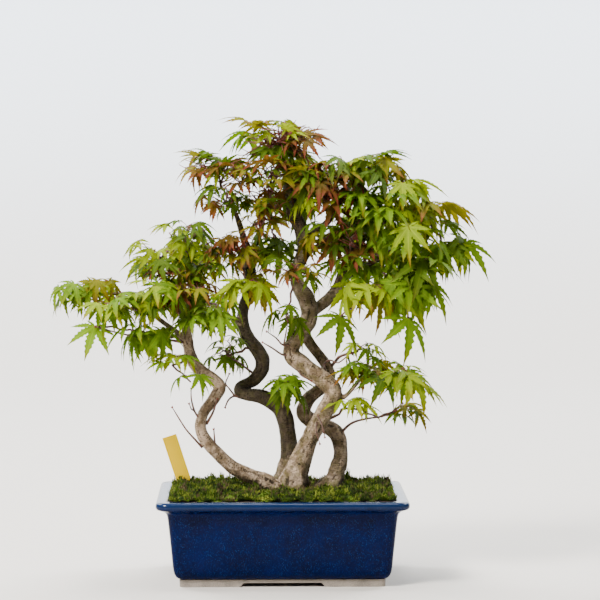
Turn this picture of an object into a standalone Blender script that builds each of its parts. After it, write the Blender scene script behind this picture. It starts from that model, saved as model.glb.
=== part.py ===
"""Maple bonsai in a glazed tray pot: four sinuous trunks, their boughs and leaf masses, and the pot.

The left, middle and centre trunks rise from one flared root base, and the right trunk from a foot of its
own beside it. Millimetres in the tables below, metres in the scene, +Z up. The origin is on the ground
under the middle of the whole plant, and the broad side of the pot faces -Y. Every limb is a tapering tube
through its bend points. Every leaf mass grows by one seeded rule: a stem, a twig to each pad, sprays round
the pad, and leaves that droop outwards from them.
"""

import math
import random

import bmesh
import bpy
from mathutils import Matrix, Vector
from mathutils.bvhtree import BVHTree

MM = 0.001
GAP = 0.3  # clear space between neighbouring solids
SEED = 41

# ---- pot, soil and moss -------------------------------------------------------------------------------
POT_X = 15.0  # the tree's crown reaches further to the left of the pot
POT_Y = 0.0
POT_LENGTH, POT_DEPTH, POT_HEIGHT = 300.0, 215.0, 103.0
POT_CORNER = 15.0
FOOT_HEIGHT = 9.0
FOOT_INSET, FOOT_WIDTH = 28.0, 18.0
FOOT_CUT_HEIGHT, FOOT_CUT_LONG, FOOT_CUT_SHORT, FOOT_CUT_SLOPE = 5.0, 46.0, 30.0, 6.0
FOOT_CUT_BELOW = -1.2  # height at which the cutter starts, under the foot
PAST_ALL = 400.0  # a cutter's length, past every side of the pot
POT_FLOOR = 8.0
FLOOR_BEVEL = 4.0  # inside corner between the wall and the floor
RIM_BEVEL = 1.0  # inside edge of the flat rim
FOOT_FLARE = 0.4
DRAIN_RADIUS, DRAIN_SPACING, DRAIN_DRILL = 8.0, 120.0, 30.0
SOIL_EASE = 0.1  # more room than GAP where the soil meets the drafted wall
# outside of the pot, from the foot up to the rolled lip and across its flat top: (inset from the lip, z)
POT_OUTSIDE = [(28.0, 9.3), (25.0, 10.8), (22.0, 15.0), (20.0, 24.0), (18.0, 44.0), (15.2, 72.0),
               (13.6, 85.0), (11.5, 89.5), (6.5, 92.6), (1.6, 94.4), (0.2, 96.6), (0.0, 99.0),
               (0.5, 101.4), (2.2, 103.0)]
POT_RIM_INNER = 17.0
POT_WALL_DRAFT = 7.0
MOSS_INSET = 15.6
GROUND = 106.0  # height of the flat cut under the trunks
MOSS_EDGE, MOSS_CROWN = 1.6, 2.4
MOSS_RINGS, MOSS_SIDES = 6, 40
MOSS_SKIRT = 0.5  # height of the moss's outer edge over the rim
MOSS_WAVE, MOSS_ROUGH = 0.55, 0.25  # long and single bumps
LEVEL_SPOT, LEVEL_RADIUS, LEVEL_FADE = (38, 6), 76.0, 20.0  # the level ground round the trunks

LABEL_SIZE = (18.0, 1.2, 92.0)
LABEL_FOOT = (-95.5, 76.0, 75.5)
LABEL_LEAN = -18.0
LABEL_TIP_WIDTH = 0.35  # width of the pointed foot, as a share of the label's
LABEL_TIP_FROM = -0.32  # where the point begins, as a share of the height from the middle

# ---- trunks and limbs: bend points (x, y, z, radius) ----------------------------------------------------
ROOTS = {
    "centre": [(25, -6, 98, 22), (28, -6, 112, 17.5), (36, -6, 139, 13.3), (38, -6, 143, 12.9)],
    "middle": [(12, 14, 98, 16), (18, 20, 118, 12.4), (23, 25, 139, 10.7), (24, 25, 144, 10.6)],
    "left": [(13, -4, 98, 14), (-2, -8, 114, 10.4), (-16, -10, 121, 8.9), (-19, -10.5, 122.5, 8.8)],
}
TRUNKS = {
    "left_trunk": {
        "points": [(-16, -10, 121, 8.7), (-48, -16, 138, 8.0), (-80, -22, 174, 7.3), (-81, -21, 198, 6.6),
                   (-65, -14, 221, 7.2), (-61, -12, 235, 7.6), (-89, -16, 258, 7.8), (-98, -14, 284, 7.0),
                   (-100, -7, 315, 5.3), (-92, -4, 357, 3.6)],
        "splits": {2: "left_trunk_foot", 4: "left_trunk_rise", 6: "left_trunk_bend", 9: "left_trunk_top"},
    },
    "middle_trunk": {
        "points": [(23, 25, 139, 10.7), (23, 23, 171, 10.0), (14, 16, 202, 10.2), (-8, 8, 218, 9.1),
                   (-32, 4, 222, 7.0), (-36, 12, 230, 6.2), (-17, 23, 239, 8.2), (-8, 20, 262, 9.0),
                   (-29, 10, 296, 8.0), (-32, 7, 323, 6.8), (-22, 5, 355, 7.6), (-27, 5, 388, 8.0),
                   (-28, 5, 404, 5.4)],
        "splits": {2: "middle_trunk_rise", 5: "middle_trunk_shelf",
                   8: "middle_trunk_sweep", 12: "middle_trunk_top"},
        "tight": (5,),
    },
    "centre_trunk": {
        "points": [(36, -6, 139, 13.3), (50, -8, 171, 10.8), (67, -10, 202, 10.4), (76, -12, 229, 10.9),
                   (42, -11, 257, 10.7), (26, -9, 276, 9.6), (47, -6, 312, 10.6), (45, -7, 336, 10.8),
                   (32, -8, 366, 8.2), (43, -2, 407, 8.8), (25, -4, 452, 8.4), (23, -3, 489, 5.3),
                   (19, -4, 507, 3.4)],
        "splits": {2: "centre_trunk_foot", 4: "centre_trunk_elbow", 6: "centre_trunk_rise",
                   8: "centre_trunk_sway", 12: "centre_trunk_top"},
    },
    "right_trunk": {
        "points": [(74, 10, 106, 16.0), (81, 12, 122, 10.6), (87, 16, 150, 8.6), (80, 20, 174, 9.6),
                   (44, 19, 193, 9.4), (47, 18, 213, 8.3), (74, 20, 244, 6.8), (45, 19, 290, 6.6),
                   (46, 19, 313, 6.8), (80, 8, 346, 7.3), (91, 8, 377, 6.0)],
        "splits": {3: "right_trunk_foot", 5: "right_trunk_loop",
                   7: "right_trunk_climb", 10: "right_trunk_bough"},
    },
}
# boughs: the limb each springs from, and its own bend points
BOUGHS = {
    "crest_bough": ("middle_trunk_top", [(-29, 4, 405, 4.4), (-36, 1, 428, 3.7), (-43, -2, 448, 2.5)]),
    "inner_crest_bough": ("middle_trunk_top", [(-27, 5, 388, 3.8), (-11, 14, 414, 3.2), (-7, 14, 440, 2.5)]),
    "far_left_bough": ("left_trunk_top", [(-99, -6, 317, 3.9), (-145, -16, 342, 2.9), (-194, -22, 346, 1.8)]),
    "left_low_bough": (
        "left_trunk_top", [(-99, -13, 289, 4.1), (-122, -34, 308, 3.3), (-144, -54, 326, 2.4)]),
    "inner_left_bough": (
        "middle_trunk_top", [(-32, 8, 309, 3.9), (-50, -12, 317, 3.1), (-71, -26, 320, 2.3)]),
    "upper_right_bough": ("centre_trunk_top", [(43, -2, 409, 5.1), (72, 12, 432, 4.1), (97, 8, 469, 2.7)]),
    "right_high_bough": ("right_trunk_bough", [(89, 8, 372, 5.0), (108, 4, 404, 4.4), (149, -4, 443, 2.5)]),
    "right_mid_bough": ("right_trunk_bough", [(86, 8, 361, 4.6), (108, -17, 374, 4.0), (135, -30, 389, 2.5)]),
    "right_low_bough": ("right_trunk_bough", [(80, 8, 346, 4.6), (101, -16, 350, 3.9), (130, -32, 354, 2.5)]),
    "lower_right_bough": (
        "centre_trunk_elbow", [(74, -11, 216, 3.2), (90, -14, 220, 2.8), (107, -18, 238, 2.2)]),
    "back_left_bough": (
        "middle_trunk_sweep", [(-21, 13, 284, 4.9), (-36, 38, 299, 4.0), (-54, 58, 320, 2.6)]),
    "back_right_bough": ("right_trunk_bough", [(86, 8, 361, 5.0), (97, 36, 378, 4.2), (114, 56, 397, 2.9)]),
    "back_top_bough": ("centre_trunk_top", [(41, -4, 392, 4.8), (36, 28, 411, 4.0), (31, 48, 434, 2.6)]),
}
LIMB_STEP = 10.0
BOUGH_STEP = 18.0
STRAIGHT_END = 1.5  # straight run before each flat end of a limb
END_CLEAR = 2.5  # no bend point this near a limb's end
FOOT_CLEAR = 4.0  # no bend point this near a bough's foot
CUTTER = 60.0  # side of a block that squares off a joint
ROOT_CUT, ROOT_CUT_ROOM = 24.0, 5.0  # the drum that squares the root base: length, room round a trunk

# ---- leaf masses ----------------------------------------------------------------------------------------
# each mass: the limb it joins, where on it (0 to 1, or 1 for its tip), and its pads
# a pad: centre (x, y, z), half sizes (x, y, z), number of leaves, leaf length, first azimuth
MASSES = {
    "apex_leaves": ("centre_trunk_top", 1.0, [((13, -4, 535), (30, 28, 18), 13, 46, -35)]),
    "left_crest_leaves": ("crest_bough", 1.0, [((-52, -8, 460), (16, 22, 8), 6, 42, -140),
                                               ((-60, -4, 500), (33, 26, 8), 10, 40, -160)]),
    "inner_crest_leaves": ("inner_crest_bough", 1.0, [((2, 4, 460), (22, 26, 18), 9, 40, -120)]),
    "left_shoulder_leaves": ("left_trunk_top", 1.0, [((-92, -6, 372), (18, 20, 12), 5, 34, -100),
                                                     ((-98, -12, 416), (34, 40, 12), 11, 46, -60),
                                                     ((-136, -14, 394), (17, 26, 13), 7, 46, -145)]),
    "far_left_leaves": ("far_left_bough", 1.0, [((-204, -18, 350), (12, 22, 9), 5, 38, -90),
                                                ((-230, -20, 350), (8, 18, 6), 4, 40, -140)]),
    "left_low_leaves": ("left_low_bough", 1.0, [((-138, -54, 344), (20, 34, 12), 9, 48, -110),
                                                ((-182, -44, 336), (18, 28, 9), 8, 42, -75)]),
    "left_hanging_leaves": ("left_trunk_top", 0.24, [((-146, -44, 300), (10, 14, 4), 4, 50, -165),
                                                     ((-208, -44, 308), (1, 1, 1), 1, 54, -110)]),
    "inner_left_leaves": ("inner_left_bough", 1.0, [((-74, -40, 324), (28, 36, 8), 9, 42, -92)]),
    "lower_left_leaves": ("left_trunk_top", 0.06, [((-110, -44, 266), (9, 14, 8), 4, 44, -115),
                                                   ((-80, -50, 242), (7, 10, 4), 3, 42, -94)]),
    "inner_low_leaves": ("middle_trunk_sweep", 0.8, [((-58, -6, 270), (18, 20, 10), 6, 36, -60)]),
    "front_leaves": ("middle_trunk_top", 0.42, [((-26, -34, 360), (12, 10, 6), 4, 42, -95)]),
    "centre_leaves": ("centre_trunk_sway", 0.62, [((34, -38, 371), (20, 14, 6), 6, 38, -95),
                                                  ((20, -36, 320), (9, 8, 5), 3, 34, -110)]),
    "centre_high_leaves": ("centre_trunk_top", 0.1, [((8, 16, 404), (12, 22, 12), 6, 42, -120)]),
    "lower_centre_leaves": ("middle_trunk_shelf", 0.12, [((20, -8, 234), (12, 10, 5), 4, 36, -60)]),
    "upper_right_leaves": ("upper_right_bough", 1.0, [((82, -14, 488), (28, 42, 15), 11, 44, -105),
                                                      ((122, -12, 500), (20, 38, 8), 8, 44, -60),
                                                      ((108, -28, 458), (28, 26, 8), 6, 44, -70)]),
    "right_high_leaves": ("right_high_bough", 1.0, [((160, -22, 462), (20, 34, 13), 9, 48, -60),
                                                    ((190, -16, 440), (12, 22, 9), 5, 52, -30),
                                                    ((216, -16, 408), (9, 12, 5), 3, 54, -35)]),
    "right_mid_leaves": ("right_mid_bough", 1.0, [((152, -44, 414), (28, 34, 9), 9, 54, -80),
                                                  ((96, -32, 412), (22, 30, 16), 9, 46, -90)]),
    "right_low_leaves": ("right_low_bough", 1.0, [((164, -42, 362), (24, 32, 9), 8, 56, -35),
                                                  ((118, -48, 352), (20, 24, 7), 6, 48, -85),
                                                  ((164, -66, 318), (1, 1, 1), 1, 60, -90),
                                                  ((84, -60, 320), (1, 1, 1), 1, 52, -90)]),
    "young_leaves": ("right_trunk_climb", 0.5, [((107, -14, 278), (6, 6, 3), 3, 40, -40)]),
    "lower_right_leaves": ("lower_right_bough", 1.0, [((114, -22, 255), (9, 18, 5), 4, 46, -140),
                                                      ((154, -34, 247), (18, 24, 8), 7, 52, -70)]),
    "low_tip_leaves": ("right_trunk_loop", 0.08, [((100, -6, 208), (9, 12, 5), 3, 42, -80),
                                                  ((132, -6, 194), (1, 1, 1), 0, 30, 0),
                                                  ((160, -6, 206), (5, 6, 3), 3, 32, -50)]),
    "back_left_leaves": ("back_left_bough", 1.0, [((-86, 64, 342), (40, 24, 12), 8, 44, 90),
                                                  ((-102, 60, 390), (28, 20, 12), 6, 42, 110)]),
    "back_right_leaves": ("back_right_bough", 1.0, [((130, 64, 420), (40, 24, 24), 10, 46, 86),
                                                    ((144, 58, 370), (34, 22, 12), 7, 46, 60)]),
    "back_top_leaves": ("back_top_bough", 1.0, [((30, 60, 470), (34, 24, 20), 8, 42, 90),
                                                ((26, 44, 508), (18, 14, 8), 4, 40, 90)]),
}
# Each lobe's angle from the midrib in degrees, and its share of the leaf's length.
LEAF_LOBES = [(-84, 0.70), (-42, 0.92), (0, 1.0), (42, 0.92), (84, 0.70)]
LEAF_NOTCH = 0.42
LEAF_THICKNESS = 0.032
LEAF_SAG = 0.22
LEAF_DROOP = 46.0
STEM_RADIUS, TWIG_RADIUS, PETIOLE_RADIUS = 2.1, 1.7, 0.7
SIDE_FOOT, SIDE_RADIUS = 0.8, 1.0  # side twigs widen a little from inside the stem
STALK_LENGTH = 12.0
ROOT_SPACING = 2.6
TWIG_SPACING, TWIG_REACH, FIRST_TWIG_TURN = 3.0, 0.55, 62.0
BLADE_PEAK, BLADE_BACK = 0.08, -0.05  # thickest place and stalk socket, as shares of the leaf's length
STALK_TAPER = 0.7
LEAF_ROOM = 0.8  # how far a mass's space reaches past its pads, as a share of the leaf's length
TIP_KNEE, SIDE_KNEE = 4.0, 5.0  # length of a stem's first straight piece, from a tip or a limb's side
SINGLE_BACK, SINGLE_RISE = 9.0, 1.0  # a single leaf's stem ends behind and above the pad's centre
PAD_DROP = 3.0  # a stem ends this far under the pad's lower half
SPINE_LEAN = 0.3
STEM_SHRINK = 0.9
GOLDEN_TURN = 137.5  # each leaf or twig turns on from the last by this angle, as on a shoot
LEVEL_SPAN = 1.45  # leaves run from a pad's top to a little below its middle
LEAF_CLEAR = 0.4
TRY_TURNS = (0, 20, -20, 42, -42, 66, -66, 95, -95, 130, -130)
TRIES = [(turn, swell) for swell in (1.0, 1.18, 0.84) for turn in TRY_TURNS]
SPACE_REACH, SPACE_MARGIN = 1.3, 0.45


def material(name, colour, roughness, metallic=0.0):
    """A Principled material in the piece's own colour."""
    made = bpy.data.materials.new(name)
    made.use_nodes = True
    shader = made.node_tree.nodes["Principled BSDF"]
    shader.inputs["Base Color"].default_value = (*colour, 1.0)
    shader.inputs["Roughness"].default_value = roughness
    shader.inputs["Metallic"].default_value = metallic
    made.diffuse_color = (*colour, 1.0)
    return made


def place(obj, parts, parent, finish):
    parts.objects.link(obj)
    obj.parent = parent
    obj.data.materials.clear()
    obj.data.materials.append(finish)
    return obj


def mesh_object(name, bm, smooth=True):
    """A mesh object from a bmesh, welded and with its faces pointing out."""
    bmesh.ops.recalc_face_normals(bm, faces=bm.faces)
    mesh = bpy.data.meshes.new(name)
    bm.to_mesh(mesh)
    bm.free()
    if smooth:
        mesh.shade_smooth()
        mesh.set_sharp_from_angle(angle=math.radians(40))
    return bpy.data.objects.new(name, mesh)


def boolean(target, cutters, operation, solver="EXACT"):
    """Apply one Boolean with a collection of objects, then remove them."""
    tools = bpy.data.collections.new("tools_" + target.name)
    bpy.context.scene.collection.children.link(tools)
    for cutter in cutters:
        tools.objects.link(cutter)
    linked = target.name in bpy.context.scene.collection.all_objects
    if not linked:
        bpy.context.scene.collection.objects.link(target)
    modifier = target.modifiers.new("join", "BOOLEAN")
    modifier.operation = operation
    modifier.solver = solver
    modifier.operand_type = "COLLECTION"
    modifier.collection = tools
    graph = bpy.context.evaluated_depsgraph_get()
    graph.update()
    result = bpy.data.meshes.new_from_object(target.evaluated_get(graph))
    target.modifiers.clear()
    old = target.data
    target.data = result
    result.name = target.name
    bpy.data.meshes.remove(old)
    if not linked:
        bpy.context.scene.collection.objects.unlink(target)
    for cutter in cutters:
        bpy.data.objects.remove(cutter)
    bpy.data.collections.remove(tools)
    return target


# ---- pot ------------------------------------------------------------------------------------------------
def rounded_ring(inset, z, sides_per_corner=5, corner=POT_CORNER):
    """Corner points of a rounded rectangle inside the pot's plan, as a closed ring."""
    half_x, half_y = POT_LENGTH / 2 - inset, POT_DEPTH / 2 - inset
    radius = max(corner - 0.35 * inset, 4.0)
    ring = []
    for quarter, (sx, sy) in enumerate([(1, 1), (-1, 1), (-1, -1), (1, -1)]):
        for i in range(sides_per_corner + 1):
            angle = math.radians(90 * quarter + 90 * i / sides_per_corner)
            ring.append(Vector((POT_X + sx * (half_x - radius) + radius * math.cos(angle),
                                POT_Y + sy * (half_y - radius) + radius * math.sin(angle), z)) * MM)
    return ring


def loft(rings, closed=False):
    """A bmesh skin through rings of equal length: capped, or joined end to end."""
    bm = bmesh.new()
    rows = [[bm.verts.new(point) for point in ring] for ring in rings]
    pairs = list(zip(rows, rows[1:])) + ([(rows[-1], rows[0])] if closed else [])
    for lower, upper in pairs:
        for i in range(len(lower)):
            j = (i + 1) % len(lower)
            bm.faces.new((lower[i], lower[j], upper[j], upper[i]))
    if not closed:
        bm.faces.new(rows[0][::-1])
        bm.faces.new(rows[-1])
    return bm


def inner_inset(z):
    """How far the pot's inner wall stands in from the lip at a height."""
    share = (POT_HEIGHT - z) / (POT_HEIGHT - FOOT_HEIGHT - POT_FLOOR)
    return POT_RIM_INNER + POT_WALL_DRAFT * share


def box(name, size, centre):
    bm = bmesh.new()
    bmesh.ops.create_cube(bm, size=1.0)
    bmesh.ops.scale(bm, vec=Vector(size) * MM, verts=bm.verts)
    bmesh.ops.translate(bm, vec=Vector(centre) * MM, verts=bm.verts)
    return mesh_object(name, bm, smooth=False)


def drum(name, radius, depth, centre, sides=20):
    bm = bmesh.new()
    bmesh.ops.create_cone(bm, cap_ends=True, segments=sides, radius1=radius * MM, radius2=radius * MM,
                          depth=depth * MM)
    bmesh.ops.translate(bm, vec=Vector(centre) * MM, verts=bm.verts)
    return mesh_object(name, bm, smooth=False)


def make_pot():
    """The glazed body: outside profile, flat rim, drafted inner wall and a floor with two drain holes."""
    floor = FOOT_HEIGHT + GAP + POT_FLOOR
    rings = [rounded_ring(inset, z) for inset, z in POT_OUTSIDE]
    rings.append(rounded_ring(POT_RIM_INNER - RIM_BEVEL, POT_HEIGHT))
    rings.append(rounded_ring(POT_RIM_INNER, POT_HEIGHT - RIM_BEVEL))
    rings.append(rounded_ring(inner_inset(floor + FLOOR_BEVEL), floor + FLOOR_BEVEL))
    rings.append(rounded_ring(inner_inset(floor) + FLOOR_BEVEL, floor))
    pot = mesh_object("pot", loft(rings))
    drains = [drum("drain", DRAIN_RADIUS, DRAIN_DRILL,
                   (POT_X + side * DRAIN_SPACING / 2, POT_Y, FOOT_HEIGHT + 5.0)) for side in (-1, 1)]
    return boolean(pot, drains, "DIFFERENCE")


def foot_cut(half, along_x):
    """A long wedge that cuts the trapezoid openings in two facing sides of the foot."""
    bm = bmesh.new()
    profile = [(-half - FOOT_CUT_SLOPE, FOOT_CUT_BELOW), (half + FOOT_CUT_SLOPE, FOOT_CUT_BELOW),
               (half, FOOT_CUT_HEIGHT), (-half, FOOT_CUT_HEIGHT)]
    ends = []
    for away in (-PAST_ALL / 2, PAST_ALL / 2):
        corners = [(a, away, z) if along_x else (away, a, z) for a, z in profile]
        ends.append([bm.verts.new(Vector((POT_X + x, POT_Y + y, z)) * MM) for x, y, z in corners])
    for i in range(4):
        j = (i + 1) % 4
        bm.faces.new((ends[0][i], ends[0][j], ends[1][j], ends[1][i]))
    bm.faces.new(ends[0][::-1])
    bm.faces.new(ends[1])
    return mesh_object("foot_cut", bm, smooth=False)


def make_foot():
    """The unglazed belt foot, a low ring with an opening in the middle of each side."""
    inside = FOOT_INSET + FOOT_WIDTH
    rings = [rounded_ring(FOOT_INSET, 0.0), rounded_ring(FOOT_INSET - FOOT_FLARE, FOOT_HEIGHT),
             rounded_ring(inside, FOOT_HEIGHT), rounded_ring(inside, 0.0)]
    foot = mesh_object("pot_foot", loft(rings, closed=True), smooth=False)
    return boolean(foot, [foot_cut(FOOT_CUT_LONG, True), foot_cut(FOOT_CUT_SHORT, False)], "DIFFERENCE")


def label_matrix(grow=0.0):
    return (Matrix.Translation(Vector(LABEL_FOOT) * MM) @ Matrix.Rotation(math.radians(LABEL_LEAN), 4, "Y")
            @ Matrix.Translation(Vector((0, 0, LABEL_SIZE[2] / 2 + grow / 2)) * MM))


def make_label(name="plant_label", grow=0.0):
    """A blank plastic label pushed into the soil, pointed at its foot."""
    width, thick, tall = (side + 2 * grow for side in LABEL_SIZE)
    bm = bmesh.new()
    bmesh.ops.create_cube(bm, size=1.0)
    for vert in bm.verts:
        vert.co.x *= width * (LABEL_TIP_WIDTH if vert.co.z < 0 else 1.0)
        vert.co.y *= thick
        vert.co.z *= tall
    upright = [edge for edge in bm.edges if abs((edge.verts[0].co - edge.verts[1].co).z) > tall / 2]
    cut = bmesh.ops.subdivide_edges(bm, edges=upright, cuts=1)
    for vert in [item for item in cut["geom_split"] if isinstance(item, bmesh.types.BMVert)]:
        vert.co.z = LABEL_TIP_FROM * tall
        vert.co.x = math.copysign(width / 2, vert.co.x)
    bmesh.ops.scale(bm, vec=(MM, MM, MM), verts=bm.verts)
    bmesh.ops.transform(bm, matrix=label_matrix(), verts=bm.verts)
    return mesh_object(name, bm, smooth=False)


def make_soil():
    floor = FOOT_HEIGHT + GAP + POT_FLOOR + GAP
    room = GAP + SOIL_EASE
    rings = [rounded_ring(inner_inset(floor) + FLOOR_BEVEL + room, floor),
             rounded_ring(inner_inset(floor + FLOOR_BEVEL) + room, floor + FLOOR_BEVEL),
             rounded_ring(POT_RIM_INNER + room, POT_HEIGHT - RIM_BEVEL),
             rounded_ring(POT_RIM_INNER + room, POT_HEIGHT)]
    return boolean(mesh_object("soil", loft(rings)), [make_label("slot", GAP)], "DIFFERENCE")


def make_moss():
    """A carpet of moss over the soil: level where the trunks stand, low cushions towards the rim."""
    base = POT_HEIGHT + GAP
    flat = GROUND - GAP
    rng = random.Random(SEED)
    outline = rounded_ring(MOSS_INSET, 0.0, MOSS_SIDES // 4 - 1)
    edge = [Vector((point.x, point.y, 0)) / MM for point in outline]
    middle = Vector((POT_X, POT_Y, 0))
    rings = [[Vector((p.x, p.y, base)) * MM for p in edge]]
    for k in range(MOSS_RINGS):
        share = 1.0 - k / MOSS_RINGS
        ring = []
        for p in edge:
            spot = middle + (p - middle) * share
            swell = math.sin(math.pi * min(k / 2.0, 1.0) / 2)
            bump = (MOSS_WAVE * math.sin(spot.x * 0.11 + 1.3) * math.cos(spot.y * 0.13)
                    + rng.uniform(-MOSS_ROUGH, MOSS_ROUGH))
            height = base + MOSS_SKIRT + MOSS_EDGE * swell + MOSS_CROWN * (1 - share) + bump * swell
            away = Vector((spot.x - LEVEL_SPOT[0], spot.y - LEVEL_SPOT[1], 0)).length
            near = max(0.0, 1.0 - max(0.0, (away - LEVEL_RADIUS) / LEVEL_FADE))
            height = height * (1 - min(near, 1.0)) + flat * min(near, 1.0)
            ring.append(Vector((spot.x, spot.y, min(height, flat) if near >= 1 else height)) * MM)
        rings.append(ring)
    bm = bmesh.new()
    rows = [[bm.verts.new(point) for point in ring] for ring in rings]
    for lower, upper in zip(rows, rows[1:]):
        for i in range(len(lower)):
            j = (i + 1) % len(lower)
            bm.faces.new((lower[i], lower[j], upper[j], upper[i]))
    bm.faces.new(rows[0][::-1])
    crown = bm.verts.new(Vector((middle.x, middle.y, flat)) * MM)
    for i in range(len(rows[-1])):
        bm.faces.new((rows[-1][i], rows[-1][(i + 1) % len(rows[-1])], crown))
    return boolean(mesh_object("moss", bm), [make_label("slot", GAP)], "DIFFERENCE")


# ---- limbs ----------------------------------------------------------------------------------------------
def smooth_path(points, step):
    """A Catmull-Rom path through (x, y, z, radius) points, as (position, radius) samples and knot indices."""
    rows = [(Vector(p[:3]), float(p[3])) for p in points]
    samples, knots = [], []
    for i in range(len(rows) - 1):
        (p1, r1), (p2, r2) = rows[i], rows[i + 1]
        p0 = rows[i - 1][0] if i else p1 - (p2 - p1)
        p3 = rows[i + 2][0] if i + 2 < len(rows) else p2 + (p2 - p1)
        count = max(1, round((p2 - p1).length / step))
        knots.append(len(samples))
        for k in range(count):
            t = k / count
            spot = 0.5 * ((2 * p1) + (p2 - p0) * t + (2 * p0 - 5 * p1 + 4 * p2 - p3) * t * t
                          + (3 * p1 - p0 - 3 * p2 + p3) * t ** 3)
            ease = t * t * (3 - 2 * t)
            samples.append((spot, r1 + (r2 - r1) * ease))
    knots.append(len(samples))
    samples.append(rows[-1])
    return samples, knots


def heading(samples, i):
    a, b = samples[max(i - 1, 0)][0], samples[min(i + 1, len(samples) - 1)][0]
    return (b - a).normalized()


def squared_ends(samples, first_heading, last_heading, trim_first, trim_last):
    """The samples with a short straight run at each end, so that neighbouring caps face each other."""
    start, end = samples[0], samples[-1]
    middle = [s for s in samples[1:-1]
              if (s[0] - start[0]).length > END_CLEAR and (s[0] - end[0]).length > END_CLEAR]
    foot, tip = start[0] + first_heading * trim_first, end[0] - last_heading * trim_last
    return ([(foot, start[1]), (foot + first_heading * STRAIGHT_END, start[1])]
            + middle
            + [(tip - last_heading * STRAIGHT_END, end[1]), (tip, end[1])])


def tube(name, samples, resolution):
    """A tapering round limb: a curve with a bevel and filled caps, made a welded mesh."""
    curve = bpy.data.curves.new(name, "CURVE")
    curve.dimensions = "3D"
    curve.bevel_depth = MM
    curve.bevel_resolution = resolution
    curve.use_fill_caps = True
    spline = curve.splines.new("POLY")
    spline.points.add(len(samples) - 1)
    for point, (spot, radius) in zip(spline.points, samples):
        point.co = (*(spot * MM), 1.0)
        point.radius = radius
    guide = bpy.data.objects.new(name + "_guide", curve)
    bpy.context.scene.collection.objects.link(guide)
    graph = bpy.context.evaluated_depsgraph_get()
    mesh = bpy.data.meshes.new_from_object(guide.evaluated_get(graph))
    bpy.data.objects.remove(guide)
    bpy.data.curves.remove(curve)
    bm = bmesh.new()
    bm.from_mesh(mesh)
    bpy.data.meshes.remove(mesh)
    bmesh.ops.remove_doubles(bm, verts=bm.verts, dist=1e-6)
    return mesh_object(name, bm)


def make_roots():
    """The joined root base: three flares fused, cut flat at ground level and square across the trunks."""
    flares = [tube("flare_" + key, smooth_path(points, 8.0)[0], 3) for key, points in ROOTS.items()]
    base = flares[0]
    base.name = "root_base"
    boolean(base, flares[1:], "UNION")
    below = box("below", (PAST_ALL, PAST_ALL, CUTTER), (0, 0, GROUND - CUTTER / 2))
    boolean(base, [below], "DIFFERENCE")
    for key, limb in (("centre", "centre_trunk"), ("middle", "middle_trunk"), ("left", "left_trunk")):
        samples, _ = smooth_path(TRUNKS[limb]["points"], LIMB_STEP)
        along = heading(samples, 0)
        radius = samples[0][1]
        bm = bmesh.new()
        wide = (radius + ROOT_CUT_ROOM) * MM
        bmesh.ops.create_cone(bm, cap_ends=True, segments=16, radius1=wide, radius2=wide,
                              depth=ROOT_CUT * MM)
        turn = Vector((0, 0, 1)).rotation_difference(along).to_matrix().to_4x4()
        spot = samples[0][0] + along * (ROOT_CUT / 2 - GAP / 2)
        bmesh.ops.transform(bm, matrix=Matrix.Translation(spot * MM) @ turn, verts=bm.verts)
        boolean(base, [mesh_object("trunk_cut", bm, smooth=False)], "DIFFERENCE")
    return base


def square_cut(piece, spot, along, side):
    """Cut away what a piece bent back past a square joint: beyond it for side 1, before it for side -1."""
    bm = bmesh.new()
    bmesh.ops.create_cube(bm, size=CUTTER * MM)
    turn = Vector((0, 0, 1)).rotation_difference(along).to_matrix().to_4x4()
    away = Matrix.Translation((spot + along * side * (CUTTER / 2 + GAP / 2)) * MM)
    bmesh.ops.transform(bm, matrix=away @ turn, verts=bm.verts)
    boolean(piece, [mesh_object("joint_cut", bm, smooth=False)], "DIFFERENCE", "MANIFOLD")


def make_trunk(name, spec):
    """One trunk's pieces, split where it bends round a gap."""
    samples, knots = smooth_path(spec["points"], LIMB_STEP)
    pieces, paths, start = [], {}, 0
    for knot, piece in spec["splits"].items():
        end = knots[knot]
        run = samples[start:end + 1]
        first = heading(samples, start) if start or name != "right_trunk" else Vector((0, 0, 1))
        inset = GAP / 2 if start or name != "right_trunk" else 0.0
        run = squared_ends(run, first, heading(samples, end), inset, GAP / 2)
        made = tube(piece, run, 2)
        if knot in spec.get("tight", ()):
            square_cut(made, samples[end][0], heading(samples, end), 1.0)
        if start and start == knots[spec.get("tight", (-1,))[0]]:
            square_cut(made, samples[start][0], heading(samples, start), -1.0)
        pieces.append(made)
        paths[piece] = run
        start = end
    return pieces, paths


def bvh_of(objects):
    """One BVH tree over the meshes of several objects, in millimetres."""
    verts, faces = [], []
    for obj in objects:
        offset = len(verts)
        verts += [vert.co / MM for vert in obj.data.vertices]
        faces += [[offset + i for i in face.vertices] for face in obj.data.polygons]
    return BVHTree.FromPolygons(verts, faces)


def outside(tree, point, clear):
    spot, normal, _, distance = tree.find_nearest(point)
    return (point - spot).dot(normal) > 0 and distance >= clear


def clear_start(tree, origin, along, radius):
    """How far from a limb's axis a round cap can start and still stand clear of the limb."""
    side = along.orthogonal().normalized()
    across = along.cross(side)
    turns = [math.tau * k / 8 for k in range(8)]
    rim = [side * radius * math.cos(a) + across * radius * math.sin(a) for a in turns]
    for k in range(400):
        reach = 0.1 * k
        if all(outside(tree, origin + along * reach + offset, GAP) for offset in rim + [Vector()]):
            return reach
    return None


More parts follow.
